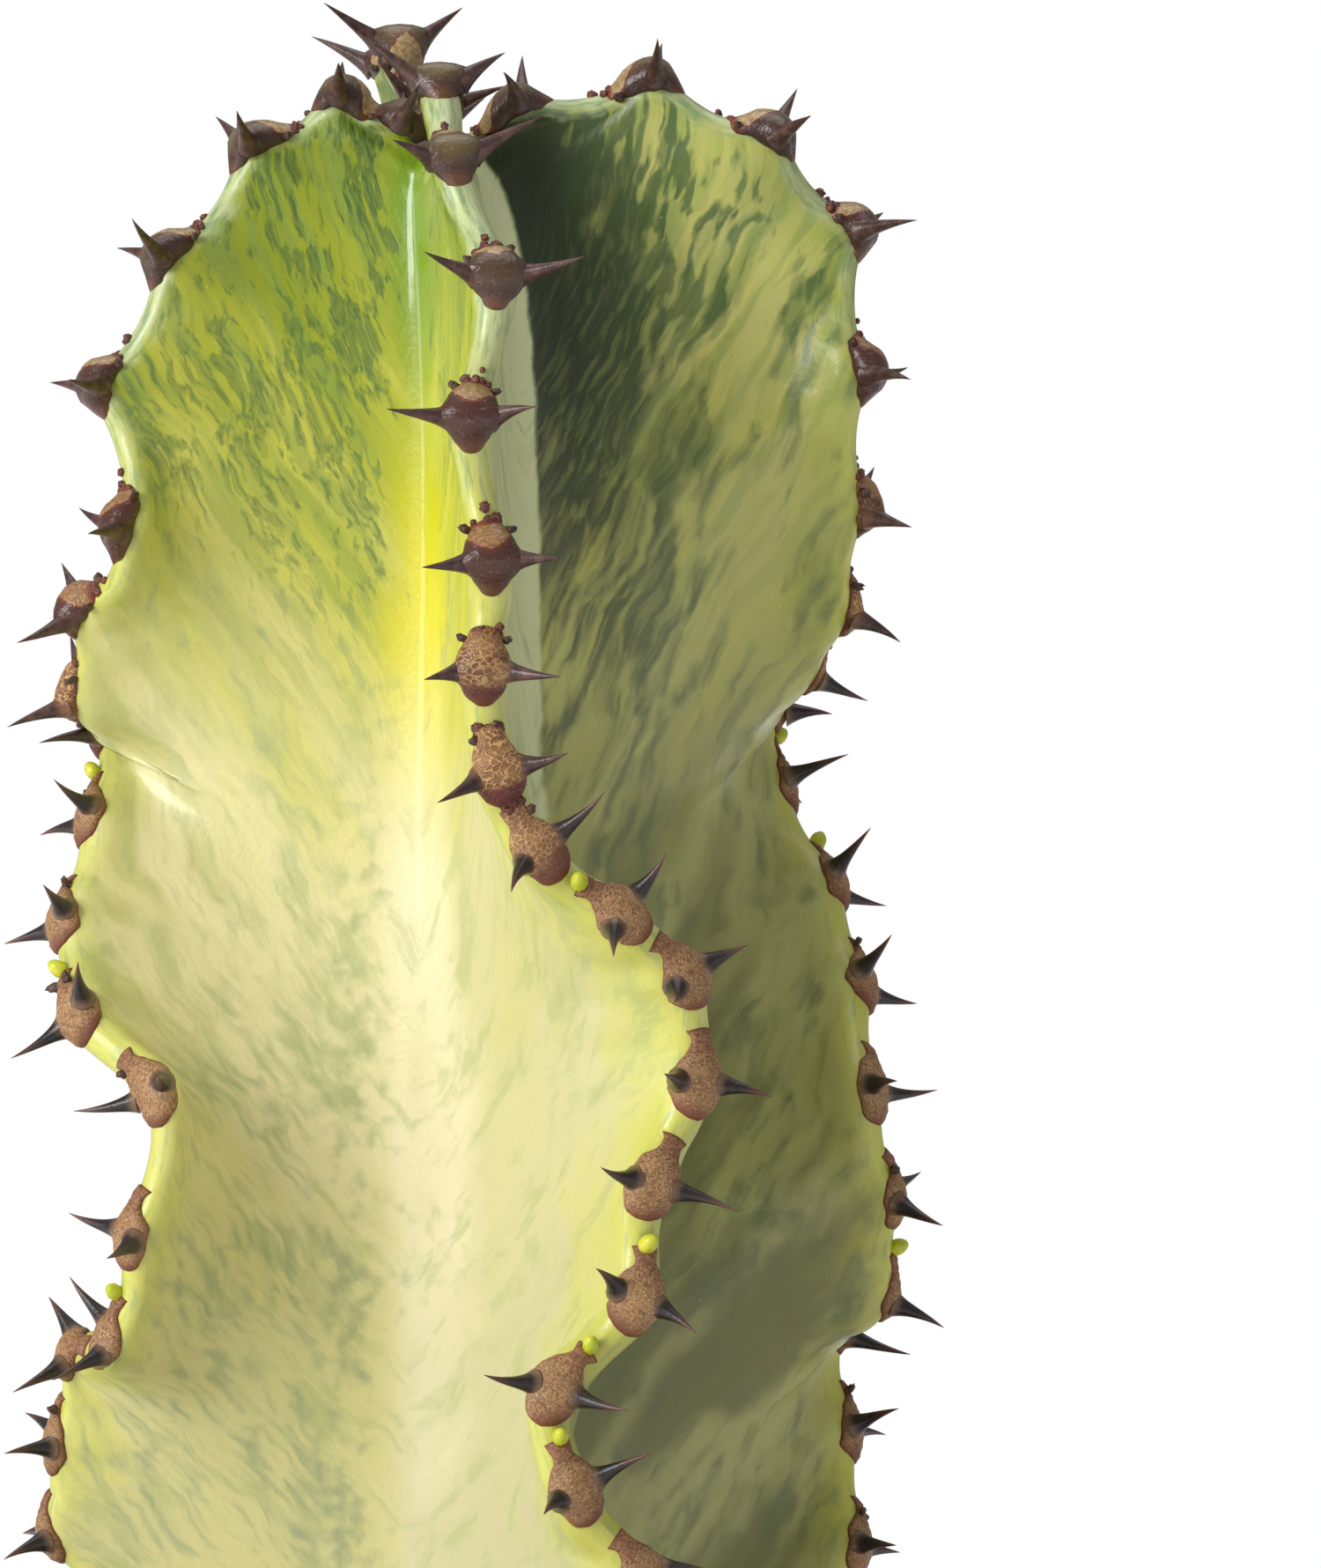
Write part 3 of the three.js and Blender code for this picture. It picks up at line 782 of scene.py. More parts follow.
def make_pot():
    """The clay pot, turned finer than the solid, with the faint rings that a wheel leaves on its outside."""
    height, foot, shoulder, rim, drain = (POT[key] for key in ("height", "foot", "shoulder", "rim", "drain"))
    collar = height - POT["rim_height"]
    profile = [(drain, 0), (foot - 1.5, 0), (foot, 1.5), (shoulder, collar - 2), (rim - 1.5, collar),
               (rim, collar + 2), (rim, height - 2), (rim - 2, height), (rim - POT["wall"] + 2, height)]
    profile = finer(rounded(profile + pot_inside() + [(drain, POT["floor"])], 1.6), 2.0)
    turn = turns(POT_SIDES)
    rows = []
    for radius, level in profile:
        if radius > foot + 1 and 6 < level < collar - 6 or radius > rim - 1:
            ring = 0.16 * math.sin(level * 1.9) + 0.1 * math.sin(level * 0.73 + 1)
            radius = radius + ring * 0.5 + 0.12 * np.sin(3 * turn + level * 0.05) - 0.3
        rows.append(circle_points(radius, level, turn))
    return turned("clay_pot", rows)


def soil_level(x, y):
    """The soil's height at a place, falling a little to the pot's wall, with small mounds."""
    radius = np.hypot(x, y)
    shore = POT["rim"] - POT["wall"]
    share = np.clip((radius - FOOT["socket"]) / (shore - FOOT["socket"]), 0, 1)
    mounds = 0.42 * np.sin(x * 0.21 + 1.3) * np.sin(y * 0.17) + 0.3 * np.sin(x * 0.43 + y * 0.31 + 2)
    crumbs = 0.22 * np.sin(x * 1.3 + 2.1 * np.sin(y * 0.9)) * np.sin(y * 1.5 + 1.7 * np.sin(x * 1.1))
    return SOIL_TOP - SOIL_FALL * share + mounds + crumbs - 0.3


def make_soil():
    """The soil, closed below like the solid, with a finer top."""
    wall = [(radius - SEAT_GAP, level) for radius, level in pot_inside()]
    bottom = POT["floor"] + SEAT_GAP
    turn = turns(SOIL_SIDES)
    rows = []
    for radius in np.linspace(FOOT["socket"], wall[0][0] - 0.5, SOIL_ROWS):
        rows.append(circle_points(radius, soil_level(radius * np.cos(turn), radius * np.sin(turn)), turn))
    for radius, level in wall[1:-1] + [(wall[-1][0], bottom), (FOOT["socket"], bottom)]:
        rows.append(circle_points(radius, level, turn))
    return turned("soil_bed", rows)


GRAINS = 2600


def make_grit():
    """Angular grains of pumice, lava and bark, half sunk in the soil, with a tone for each."""
    chance = np.random.RandomState(17)
    ball = bmesh.new()
    bmesh.ops.create_icosphere(ball, subdivisions=1, radius=1)
    shape = np.array([v.co[:] for v in ball.verts])
    corners = [[v.index for v in face.verts] for face in ball.faces]
    ball.free()
    shore = POT["rim"] - POT["wall"] - 2
    bunch = Bunch()
    for _ in range(GRAINS):
        radius = math.sqrt(chance.uniform((FOOT["socket"] + 1) ** 2, shore ** 2))
        turn = chance.uniform(0, 2 * math.pi)
        x, y = radius * math.cos(turn), radius * math.sin(turn)
        size = 0.5 + 1.5 * chance.rand() ** 2.4
        rough = shape * (1 + 0.28 * (chance.rand(len(shape), 1) - 0.5)) * chance.uniform(0.6, 1.15, 3) * size
        axes = np.linalg.qr(chance.normal(size=(3, 3)))[0]
        if np.linalg.det(axes) < 0:
            axes[0] *= -1
        bunch.add(rough @ axes + (x, y, soil_level(x, y) + size * 0.25), corners, tone=chance.rand())
    return bunch.build("grit", smooth_shading=False)


skin = Skin()
surfaces = [EdgeSurface(skin, k) for k in range(4)]
areoles = all_areoles(skin)
skin_piece = skin.build()
shields = make_shields(areoles, surfaces)
spines = make_spines(areoles, surfaces)
buds = make_eggs("buds", bud_places(areoles, surfaces))
prickles = make_eggs("prickles", prickle_places(areoles, surfaces), 0.25)
nubs = make_eggs("nubs", nub_places(areoles, surfaces), 0.25)
clay_pot = make_pot()
soil_bed = make_soil()
grit = make_grit()


def put(tree, socket, value):
    """Give a socket a number, a colour or what another node gives."""
    if isinstance(value, Value):
        tree.links.new(value.socket, socket)
    elif isinstance(value, tuple) and socket.type == "RGBA":
        socket.default_value = (*value, 1)
    else:
        socket.default_value = value


def add_node(tree, kind, inputs, output=0, **settings):
    """What a new node with these settings and inputs gives."""
    node = tree.nodes.new("ShaderNode" + kind)
    for name, setting in settings.items():
        setattr(node, name, setting)
    for name, value in inputs.items():
        put(tree, node.inputs[name], value)
    return Value(tree, node.outputs[output])


class Value:
    """A number, vector or colour that a node gives. Arithmetic and methods add the nodes that work on it."""

    def __init__(self, tree, socket):
        self.tree, self.socket = tree, socket

    def node(self, kind, inputs, output=0, **settings):
        return add_node(self.tree, kind, inputs, output, **settings)

    def math(self, operation, a, b=0.0):
        return self.node("Math", {0: a, 1: b}, operation=operation)

    def __add__(self, other):
        return self.math("ADD", self, other)

    def __sub__(self, other):
        return self.math("SUBTRACT", self, other)

    def __rsub__(self, other):
        return self.math("SUBTRACT", other, self)

    def __mul__(self, other):
        return self.math("MULTIPLY", self, other)

    def __truediv__(self, other):
        return self.math("DIVIDE", self, other)

    def __abs__(self):
        return self.math("ABSOLUTE", self)

    __radd__ = __add__
    __rmul__ = __mul__

    def root(self):
        return self.math("SQRT", self)

    def most(self, other):
        return self.math("MAXIMUM", self, other)

    def between(self, low, high):
        """0 at low, 1 at high, and smooth from one to the other."""
        inputs = {"Value": self, "From Min": low, "From Max": high}
        return self.node("MapRange", inputs, interpolation_type="SMOOTHSTEP")

    def blend(self, a, b):
        """A colour that is a where this number is 0 and b where it is 1."""
        return self.node("Mix", {0: self, 6: a, 7: b}, 2, data_type="RGBA")

    def split(self):
        """The three numbers of a vector."""
        outputs = self.node("SeparateXYZ", {0: self}).socket.node.outputs
        return [Value(self.tree, output) for output in outputs]

    def length(self):
        return self.node("VectorMath", {0: self}, "Value", operation="LENGTH")

    def stretch(self, x, y, z):
        return self.node("VectorMath", {0: self, 1: (x, y, z)}, operation="MULTIPLY")

    def noise(self, scale, detail=2.0, roughness=0.5, output="Fac"):
        inputs = {"Vector": self, "Scale": scale, "Detail": detail, "Roughness": roughness}
        return self.node("TexNoise", inputs, output)

    def streaks(self, x, y, detail=2.0, roughness=0.5):
        """A noise with its own scale each way."""
        return self.stretch(x, y, 1).noise(1.0, detail, roughness)

    def cells(self, scale, feature="F1"):
        return self.node("TexVoronoi", {"Vector": self, "Scale": scale}, "Distance", feature=feature)

    def warped(self, place, scale, reach):
        """This vector moved about by a soft noise of the place."""
        moved = place.noise(scale, output="Color")
        return self.node("VectorMath", {0: moved, 1: (reach, reach, 0), 2: self}, operation="MULTIPLY_ADD")


def laid(colour, *layers):
    """A colour with others laid over it in turn. A layer is how much of it covers, and its colour."""
    for share, over in layers:
        colour = share.blend(colour, over)
    return colour


class Finish:
    """A material in the making, set by the names of its shader's sockets."""

    def __init__(self, name, roughness):
        self.material = bpy.data.materials.new(name)
        self.material.use_nodes = True
        self.tree = self.material.node_tree
        self.set("Roughness", roughness)

    def set(self, name, value):
        put(self.tree, self.tree.nodes["Principled BSDF"].inputs[name], value)

    def attribute(self, name, output="Fac"):
        return add_node(self.tree, "Attribute", {}, output, attribute_name=name)

    def place(self):
        """The place on the object, in millimetres."""
        return add_node(self.tree, "TexCoord", {}, "Object").stretch(1000, 1000, 1000)

    def bump(self, height, distance, strength):
        inputs = {"Height": height, "Distance": distance, "Strength": strength}
        self.set("Normal", add_node(self.tree, "Bump", inputs, "Normal"))


# Colours of the skin, as linear red, green and blue.
LEAF_GREEN = (0.30, 0.355, 0.020)
YELLOW_GREEN = (0.545, 0.54, 0.050)
CREAM = (0.62, 0.57, 0.22)
SOFT_YELLOW = (0.58, 0.57, 0.17)
OLIVE = (0.46, 0.46, 0.17)
DARK_OLIVE = (0.18, 0.185, 0.062)
LIGHT_PATCH = (0.64, 0.60, 0.105)
CREAM_LEFT = (0.74, 0.67, 0.36)
CREAM_BELOW = (0.61, 0.565, 0.235)
SHADE_GREEN = (0.71, 0.74, 0.43)
# Darker olive for the lower part of the front rib's right flank: partly its own olive, partly painted shade.
SHADE_OLIVE = (0.31, 0.31, 0.10)
LIME = (0.16, 0.28, 0.0)
BRIGHT_YELLOW = (0.66, 0.60, 0.0)
# Nearly black green by the right rib's upper valley: partly its own dark green, partly painted shade.
VALLEY_GREEN_AND_SHADE = (0.06, 0.085, 0.022)
PALE = (0.77, 0.70, 0.43)
CREAM_PALE = (0.61, 0.57, 0.28)
PALE_BELOW = (0.55, 0.51, 0.28)
CREST_PALE = (0.52, 0.58, 0.29)
CREST_GREEN = (0.21, 0.32, 0.17)
CREST_YELLOW = (0.60, 0.60, 0.09)
WASH_GREEN = (0.20, 0.31, 0.07)
BLOTCH_GREEN = (0.36, 0.42, 0.15)
BAND_OLIVE = (0.47, 0.46, 0.14)
STREAK_DARK = (0.050, 0.12, 0.030)
STREAK_LEAF = (0.15, 0.225, 0.055)
# Streaks by the right rib's valley: dark streaks, partly painted shade of the valley.
STREAK_BLACK = (0.010, 0.024, 0.006)
STREAK_OLIVE = (0.18, 0.21, 0.085)
STREAK_GREY = (0.29, 0.335, 0.165)
STREAK_FAINT = (0.44, 0.48, 0.20)
SHADE_STREAK = (0.42, 0.48, 0.26)
BARK = (0.20, 0.13, 0.07)
SPECK = (0.9, 0.9, 0.8)


class SkinPlaces:
    """Where on the stem a point of its skin is, as lengths in millimetres and as numbers from 0 to 1."""

    def __init__(self, finish):
        self.along, self.depth, self.edge, sector = (
            finish.attribute(name) for name in ("along", "depth", "edge", "sector"))
        self.place = finish.place()
        self.band = finish.attribute("band", "Vector")
        flow = finish.attribute("flow", "Vector")
        self.flow = flow.warped(self.place, 0.10, 8.0).warped(self.place, 0.6, 0.9)
        self.valley = abs(self.depth)
        self.front_left = sector.between(2.4, 2.6)
        self.front_right = sector.between(0.6, 0.4)
        self.on_left_rib = self.front_left * self.depth.between(2, -2)
        self.left_of_front = self.front_left * self.depth.between(-2, 2)
        self.middle = self.along.between(72, 100) * self.along.between(195, 150)
        loose = self.along.between(95, 160)
        border = self.depth - 1.5 + (self.place.noise(0.25, 3) - 0.5) * (1.2 + 9 * loose)
        soft = 0.5 + 1.3 * loose
        hard = soft * -1
        self.right_of_front = self.front_right * border.between(soft, hard)
        self.on_right_rib = self.front_right * border.between(hard, soft)


def ground_colour(at):
    """The skin's colour under its streaks: green and young above, cream below, brighter in the valleys, with
    painted shade in the right rib's upper valley and on the lower part of the front rib's right flank.
    """
    cloud = at.flow.streaks(0.045, 0.03, 3)
    drift = at.along + (cloud - 0.5) * 90
    low = (drift + 25 * at.on_left_rib).between(80, 165)
    dark = at.on_right_rib * cloud.between(0.60, 0.44) * at.along.between(90, 160)
    light = at.flow.streaks(0.10, 0.05).between(0.50, 0.64)
    light = light * at.along.between(25, 50) * at.along.between(150, 90)
    # Painted shade: by its valley near the top, the right rib's flank turns nearly black. Part of this is its own
    # dark green, part is the shade that the front rib casts there.
    shade = at.on_right_rib * at.valley.between(28, 4) * at.along.between(105, 40)
    greening = (at.edge + (cloud - 0.5) * 24).between(13, 3) * (1 - 0.8 * at.right_of_front)
    greening = greening * (0.45 + 0.55 * at.place.noise(0.06).between(0.40, 0.58))
    trough = at.along.between(20, 85).blend(LIME, BRIGHT_YELLOW)
    trough = at.along.between(78, 128).blend(trough, drift.between(170, 230).blend(PALE, PALE_BELOW))
    aside = at.along.between(100, 160) * at.front_left * -5
    from_trough = (abs(at.depth + aside) + (cloud - 0.5) * 10) / (6 + 4 * at.along.between(60, 130))
    in_trough = from_trough.between(1.0, 0.15) * (0.35 + 0.6 * at.front_left) * (1 - at.front_right)
    return laid(
        drift.between(18, 88).blend(LEAF_GREEN, YELLOW_GREEN),
        (low, at.on_left_rib.blend(CREAM, CREAM_LEFT)),
        (at.on_right_rib, low.blend(SOFT_YELLOW, OLIVE)),
        (dark * 0.85, DARK_OLIVE),
        (at.on_left_rib * drift.between(155, 205), CREAM_BELOW),
        (light * 0.5, LIGHT_PATCH),
        (shade * 0.9, VALLEY_GREEN_AND_SHADE),
        (at.left_of_front * drift.between(100, 150), drift.between(150, 230).blend(CREAM_PALE, PALE_BELOW)),
        # Lower down, the front rib's right flank turns a darker olive. Part of this is its own colour, part is
        # painted shade.
        (at.right_of_front * 0.95, drift.between(155, 205).blend(SHADE_GREEN, SHADE_OLIVE)),
        (greening * 0.55, drift.between(60, 160).blend(LEAF_GREEN, CREST_YELLOW)),
        (in_trough, trough),
    )


def streak_density(at):
    """How thickly streaks lie: densest beside the valley of the right rib, thinnest left of the front rib."""
    lower = at.along.between(70, 190)
    on_left = mix(mix(0.60, 0.50, at.along.between(35, 75)), 0.40, lower)
    density = mix(mix(0.66, 0.50, lower), on_left, at.on_left_rib)
    density = density * (1 - 0.4 * at.edge.between(34, 12) * at.on_left_rib * at.middle)
    density = mix(density, mix(0.42, 0.06, lower), at.left_of_front)
    density = mix(density, mix(0.30, 0.52, lower), at.right_of_front)
    outer = mix(0.32, 0.36, at.along.between(40, 90))
    inner = mix(1.3, 0.50, at.along.between(50, 120))
    density = mix(density, mix(outer, inner, at.valley.between(34, 8)), at.on_right_rib)
    clear = (at.valley + (at.place.noise(0.22, 3) - 0.5) * 12).between(2.0, 7.5)
    clear = clear.most(0.9 - 0.9 * at.front_left)
    dots = at.valley.between(4.5, 6.5) * at.valley.between(15, 9) * at.on_left_rib
    return (density + 0.12 * dots) * clear * at.edge.between(1.0, 4.5)


def streak_share(at):
    """How much of a streak a point shows: crisp dabs above, softer, fainter ones below and on the right."""
    score = at.flow.streaks(0.06, 0.07) * 0.7 + streak_density(at) * 0.42
    dabs = mix(at.flow.streaks(0.40, 0.46, 3, 0.55), at.flow.streaks(0.34, 0.26, 2, 0.4), at.on_right_rib)
    grain = at.flow.streaks(1.0, 0.9).between(0.62, 0.42)
    crisp = (score + dabs).between(1.04, 1.20) * (1 + grain * (0.4 * at.front_right - 0.4))
    fine = mix(at.flow.streaks(0.45, 0.26, 2, 0.4), at.place.noise(0.42, 2, 0.4), at.valley.between(16, 10))
    soft = score + mix(at.flow.streaks(0.22, 0.20), fine, at.front_left)
    soft = soft.between(0.96 - 0.05 * at.front_left, 1.28 + 0.08 * at.front_left)
    by_valley = at.on_right_rib * at.valley.between(30, 10)
    on_right = (at.front_right * at.along).between(25, 90).most(by_valley * 0.8)
    softness = at.along.between(60, 130).most(on_right)
    dashes = at.flow.streaks(0.42, 0.34, 3).between(0.44, 0.70) * by_valley * at.along.between(20, 50)
    return mix(crisp, soft, softness * 0.85) * (1 - 0.5 * dashes)


def wash(at):
    """Long faint green streaks that lie under the dabs near the tip."""
    share = at.flow.streaks(0.24, 0.06).between(0.42, 0.62)
    share = share * at.along.between(130, 60) * at.valley.between(4, 9)
    return share * 0.5, WASH_GREEN


def blotches(at):
    """Soft patches on the lower front: yellow ones by the front rib's edge, olive bands, faint green ones."""
    low = at.along.between(90, 130)
    beside = (at.edge + (at.place.noise(0.13, 3, 0.55) - 0.5) * 40).between(24, 6)
    bands = at.flow.streaks(0.13, 0.025, 3).between(0.46, 0.60) * at.edge.between(34, 10)
    green = at.flow.streaks(0.16, 0.09, 4, 0.6).between(0.50, 0.66)
    return [
        (beside * at.left_of_front * low * 0.55, CREST_YELLOW),
        (bands * at.on_left_rib * at.middle * 0.6, BAND_OLIVE),
        (green * at.front_left * low * 0.5, BLOTCH_GREEN),
    ]


def streak_colour(at):
    # By the right rib's valley the streaks go nearly black: dark streaks with painted shade of the valley on them.
    right = at.valley.between(6, 30).blend(STREAK_BLACK, STREAK_DARK)
    left = at.along.between(15, 70).blend(STREAK_DARK, STREAK_LEAF)
    faint = (at.left_of_front * at.along.between(60, 110)).most(at.front_left * at.middle * 0.7)
    return laid(
        at.along.between(70, 200).blend(STREAK_DARK, STREAK_OLIVE),
        (at.on_right_rib, at.along.between(50, 150).blend(right, STREAK_OLIVE)),
        (at.front_left, at.along.between(70, 130).blend(left, STREAK_GREY)),
        (faint, STREAK_FAINT),
        (at.right_of_front, at.along.between(140, 190).blend(SHADE_STREAK, STREAK_OLIVE)),
    )


def crest_colour(at):
    """The bare skin on a rib's edge: whitish with green lines above, yellow below."""
    lines = at.band.streaks(1.1, 0.16, 4, 0.6)
    young = lines.between(0.43, 0.66).blend(CREST_PALE, CREST_GREEN)
    old = (lines.between(0.52, 0.66) * 0.6).blend(CREST_YELLOW, CREST_GREEN)
    return at.along.between(55, 100).blend(young, old)


def skin_material():
    finish = Finish("skin", 0.36)
    at = SkinPlaces(finish)
    older = at.along.between(75, 130)
    crest = (at.edge + (at.place.noise(0.4, 3) - 0.5) * 4).between(4.4 + 3 * older, 1.6 - older)
    height = at.place.split()[2] + (at.place.noise(0.12, 3) - 0.5) * 60
    specks = at.place.cells(0.3).between(0.035, 0.020)
    finish.set("Base Color", laid(
        ground_colour(at),
        wash(at),
        *blotches(at),
        (streak_share(at) * 0.9, streak_colour(at)),
        (crest * (0.85 - 0.15 * older), crest_colour(at)),
        (height.between(148, 116), BARK),
        (specks * 0.5, SPECK),
    ))
    finish.set("Roughness", 0.33 + 0.12 * at.place.noise(0.5))
    finish.set("Specular IOR Level", 0.45)
    gloss = at.valley.between(12, 4) * at.front_left * (0.7 * at.along.between(150, 80) - 0.22)
    finish.set("Coat Weight", 0.25 - 0.10 * at.front_right + gloss)
    finish.set("Coat Roughness", 0.08)
    finish.set("Subsurface Weight", 0.12)
    finish.set("Subsurface Radius", (1.0, 0.7, 0.25))
    finish.set("Subsurface Scale", 0.0015)
    ripple = at.flow.streaks(0.5, 0.12) * at.edge.between(3, 7)
    finish.bump(at.place.noise(1.4, 3) + 1.2 * ripple, 0.00012, 0.6)
    return finish.material


# Colours of the shields.
PURPLE_BROWN = (0.050, 0.021, 0.018)
RED_BROWN = (0.075, 0.026, 0.019)
OLIVE_BROWN = (0.150, 0.105, 0.040)
NET_TAN = (0.60, 0.36, 0.14)
NET_BROWN = (0.34, 0.165, 0.065)
NET_DARK = (0.20, 0.080, 0.035)
NET_TAIL = (0.15, 0.036, 0.026)
CORK = (0.52, 0.30, 0.125)
CORK_DARK = (0.30, 0.145, 0.055)
CORK_EDGE = (0.20, 0.075, 0.034)
CORK_TAIL = (0.17, 0.048, 0.024)
CRACK = (0.085, 0.032, 0.018)
PIT = (0.05, 0.022, 0.014)
CRUST = (0.13, 0.048, 0.024)
RIM_RED = (0.15, 0.030, 0.016)
TOP_RED = (0.22, 0.045, 0.025)
LOWER_BROWN = (0.13, 0.052, 0.024)
SCAR_BROWN = (0.28, 0.17, 0.07)
SCAR_TAN = (0.46, 0.33, 0.15)
HALO_GREY = (0.42, 0.37, 0.29)


class ShieldPlaces:
    """Where on its shield a point is, the shield's age and place, and the noises that the colours share."""

    def __init__(self, finish):
        pad = finish.attribute("pad", "Vector")
        across, self.place, _ = pad.split()
        self.across = abs(across)
        self.pad = pad.stretch(1, 1, 11)
        self.age, self.along, self.rim = (finish.attribute(name) for name in ("age", "along", "rim"))
        self.mottle = self.pad.noise(0.45, 3)
        self.grain = self.pad.noise(3.2, 3, 0.65)
        self.warped = self.pad.warped(self.pad, 0.9, 1.3)
        self.cracks = self.warped.cells(1.85, "DISTANCE_TO_EDGE")


def circle(x, y, radius, softness):
    """1 within a radius of where x and y are 0, and 0 outside it."""
    return (x * x + y * y).root().between(radius + softness, radius - softness)


def young_colour(at):
    """Glossy purple brown with an olive belly, and a dry scar above the spines that darkens with age."""
    belly = (at.across + (at.mottle - 0.5) * 2).between(2.2, 0.2) * at.along.between(72, 25)
    above = at.place - 0.9 * at.across + (at.grain - 0.5) * 0.7
    ripening = at.along.between(55, 85)
    scar = laid(
        at.grain.between(0.35, 0.65).blend(SCAR_BROWN, SCAR_TAN),
        (ripening * 0.75, NET_BROWN),
        (at.cracks.between(0.13, 0.03) * ripening * 0.8, NET_DARK),
    )
    return laid(
        at.along.between(40, 75).blend(PURPLE_BROWN, RED_BROWN),
        (belly * at.place.between(-2.8, -0.6), OLIVE_BROWN),
        (at.grain.between(0.6, 0.72) * 0.3, HALO_GREY),
        (above.between(0.5, 0.9) * 0.7, RIM_RED),
        (above.between(0.95, 1.15) * at.across.between(2.1, 1.9), scar),
        (at.place.between(4.0, 4.4) * at.across.between(2.4, 1.8), TOP_RED),
        (at.place.between(-2.0, -3.6), LOWER_BROWN),
        (at.place.between(-4.05, -4.5), YELLOW_GREEN),
    )


def net_colour(at):
    """A tan net of cracks on brown."""
    return laid(
        at.mottle.between(0.4, 0.65).blend(NET_DARK, NET_BROWN),
        (at.cracks.between(0.105, 0.035), NET_TAN),
        ((at.place + (at.mottle - 0.5) * 2).between(-0.9, -2.0), NET_TAIL),
    )


def cork_colour(at):
    """Cork with fine and broad cracks, pits, a crusted neck and a dark edge."""
    fine = at.warped.cells(3.3, "DISTANCE_TO_EDGE").between(0.15, 0.05) * at.mottle.between(0.36, 0.54)
    broad = at.cracks.between(0.10, 0.03) * at.mottle.between(0.54, 0.44)
    pits = (at.pad.cells(2.2) + 0.3 * at.place.between(3.0, 0.0)).between(0.34, 0.20)
    inside = circle(at.across + (at.mottle - 0.5) * 2, at.place + 0.3, 3.8, 0.8)
    tail = (at.place + (at.grain - 0.5) * 2).between(-2.0, -4.0)
    return laid(
        (at.grain + 0.6 * at.mottle).between(0.55, 1.0).blend(CORK_DARK, CORK),
        (fine.most(broad) * 0.65, CRACK),
        (at.place.between(2.2, 4.4) * 0.8, at.grain.between(0.42, 0.58).blend(CRUST, CORK)),
        (pits * 0.85, PIT),
        (circle(at.across - 2.4, at.place, 1.3, 0.8) * 0.2, HALO_GREY),
        ((1 - inside) * 0.6, CORK_EDGE),
        (tail * 0.85, CORK_TAIL),
    )


def shield_material():
    finish = Finish("shields", 0.45)
    at = ShieldPlaces(finish)
    finish.set("Base Color", laid(
        young_colour(at),
        (at.age.between(0.05, 0.3), net_colour(at)),
        (at.age.between(0.72, 0.97), cork_colour(at)),
        (at.rim.between(0.30, 0.85) * at.age.between(0.0, 0.5), RIM_RED),
    ))
    finish.set("Roughness", 0.30 + 0.3 * at.age.between(0.1, 0.9))
    relief = 0.6 * at.grain + at.cracks.between(0.20, 0.0) * at.age.between(0.95, 0.5)
    finish.bump(relief * (0.12 + at.age), 0.0003, 0.7)
    return finish.material


SPINE_YOUNG = (0.12, 0.055, 0.042)
SPINE_BLACK = (0.018, 0.012, 0.012)
SPINE_END = (0.12, 0.05, 0.035)
YOUNG_ROOT = (0.20, 0.085, 0.038)
OLD_ROOT = (0.17, 0.095, 0.055)


def spine_material():
    finish = Finish("spines", 0.33)
    reach, age, place = finish.attribute("reach"), finish.attribute("age"), finish.place()
    mottle = place.noise(0.8, 3)
    young = laid(
        mottle.between(0.4, 0.7).blend(PURPLE_BROWN, SPINE_YOUNG),
        (reach.between(0.24, 0.08) * age.between(0.02, 0.2), YOUNG_ROOT),
    )
    old = laid(
        reach.between(0.35, 0.9).blend(SPINE_BLACK, SPINE_END),
        ((reach + 0.12 * mottle).between(0.24, 0.08), OLD_ROOT),
    )
    finish.set("Base Color", age.between(0.3, 0.9).blend(young, old))
    finish.bump(place.noise(2.5), 0.0001, 0.5)
    return finish.material


BUD_GREEN = (0.46, 0.52, 0.02)
BUD_YELLOW = (0.66, 0.64, 0.05)
PRICKLE_DARK = (0.045, 0.026, 0.020)
PRICKLE_BROWN = (0.16, 0.07, 0.04)
NUB_DARK = (0.085, 0.026, 0.018)
NUB_RED = (0.27, 0.085, 0.045)


def bud_material():
    finish = Finish("buds", 0.3)
    finish.set("Base Color", finish.place().noise(0.5).between(0.35, 0.7).blend(BUD_GREEN, BUD_YELLOW))
    finish.set("Subsurface Weight", 0.2)
    finish.set("Subsurface Radius", (1.0, 0.8, 0.2))
    finish.set("Subsurface Scale", 0.001)
    return finish.material


def dry_material(name, dark, light):
    finish = Finish(name, 0.5)
    grains = finish.place().noise(2.2, 3)
    finish.set("Base Color", grains.between(0.4, 0.7).blend(dark, light))
    finish.bump(grains, 0.0004, 0.8)
    return finish.material


CLAY_DARK = (0.36, 0.13, 0.062)
CLAY_LIGHT = (0.50, 0.205, 0.105)
CLAY_BLOOM = (0.66, 0.52, 0.42)
CLAY_GRAIN = (0.24, 0.09, 0.05)


def clay_material():
    finish = Finish("terracotta", 0.8)
    place = finish.place()
    level = place.split()[2]
    tone = 0.7 * place.noise(0.03, 3) + 0.3 * place.stretch(0.02, 0.02, 0.6).noise(1.0)
    wetter = level.between(60, 5) + level.between(104, 124)
    bloom = place.stretch(1, 1, 0.5).noise(0.055, 5, 0.65) + 0.06 * wetter
    grains = place.noise(1.6, 3, 0.7)
    finish.set("Base Color", laid(
        tone.between(0.35, 0.65).blend(CLAY_DARK, CLAY_LIGHT),
        (bloom.between(0.50, 0.74) * 0.42, CLAY_BLOOM),
        (grains.between(0.62, 0.72) * 0.35, CLAY_GRAIN),
    ))
    finish.bump(grains + 1.5 * place.stretch(0.05, 0.05, 1.1).noise(1.0, 3), 0.0003, 0.6)
    return finish.material


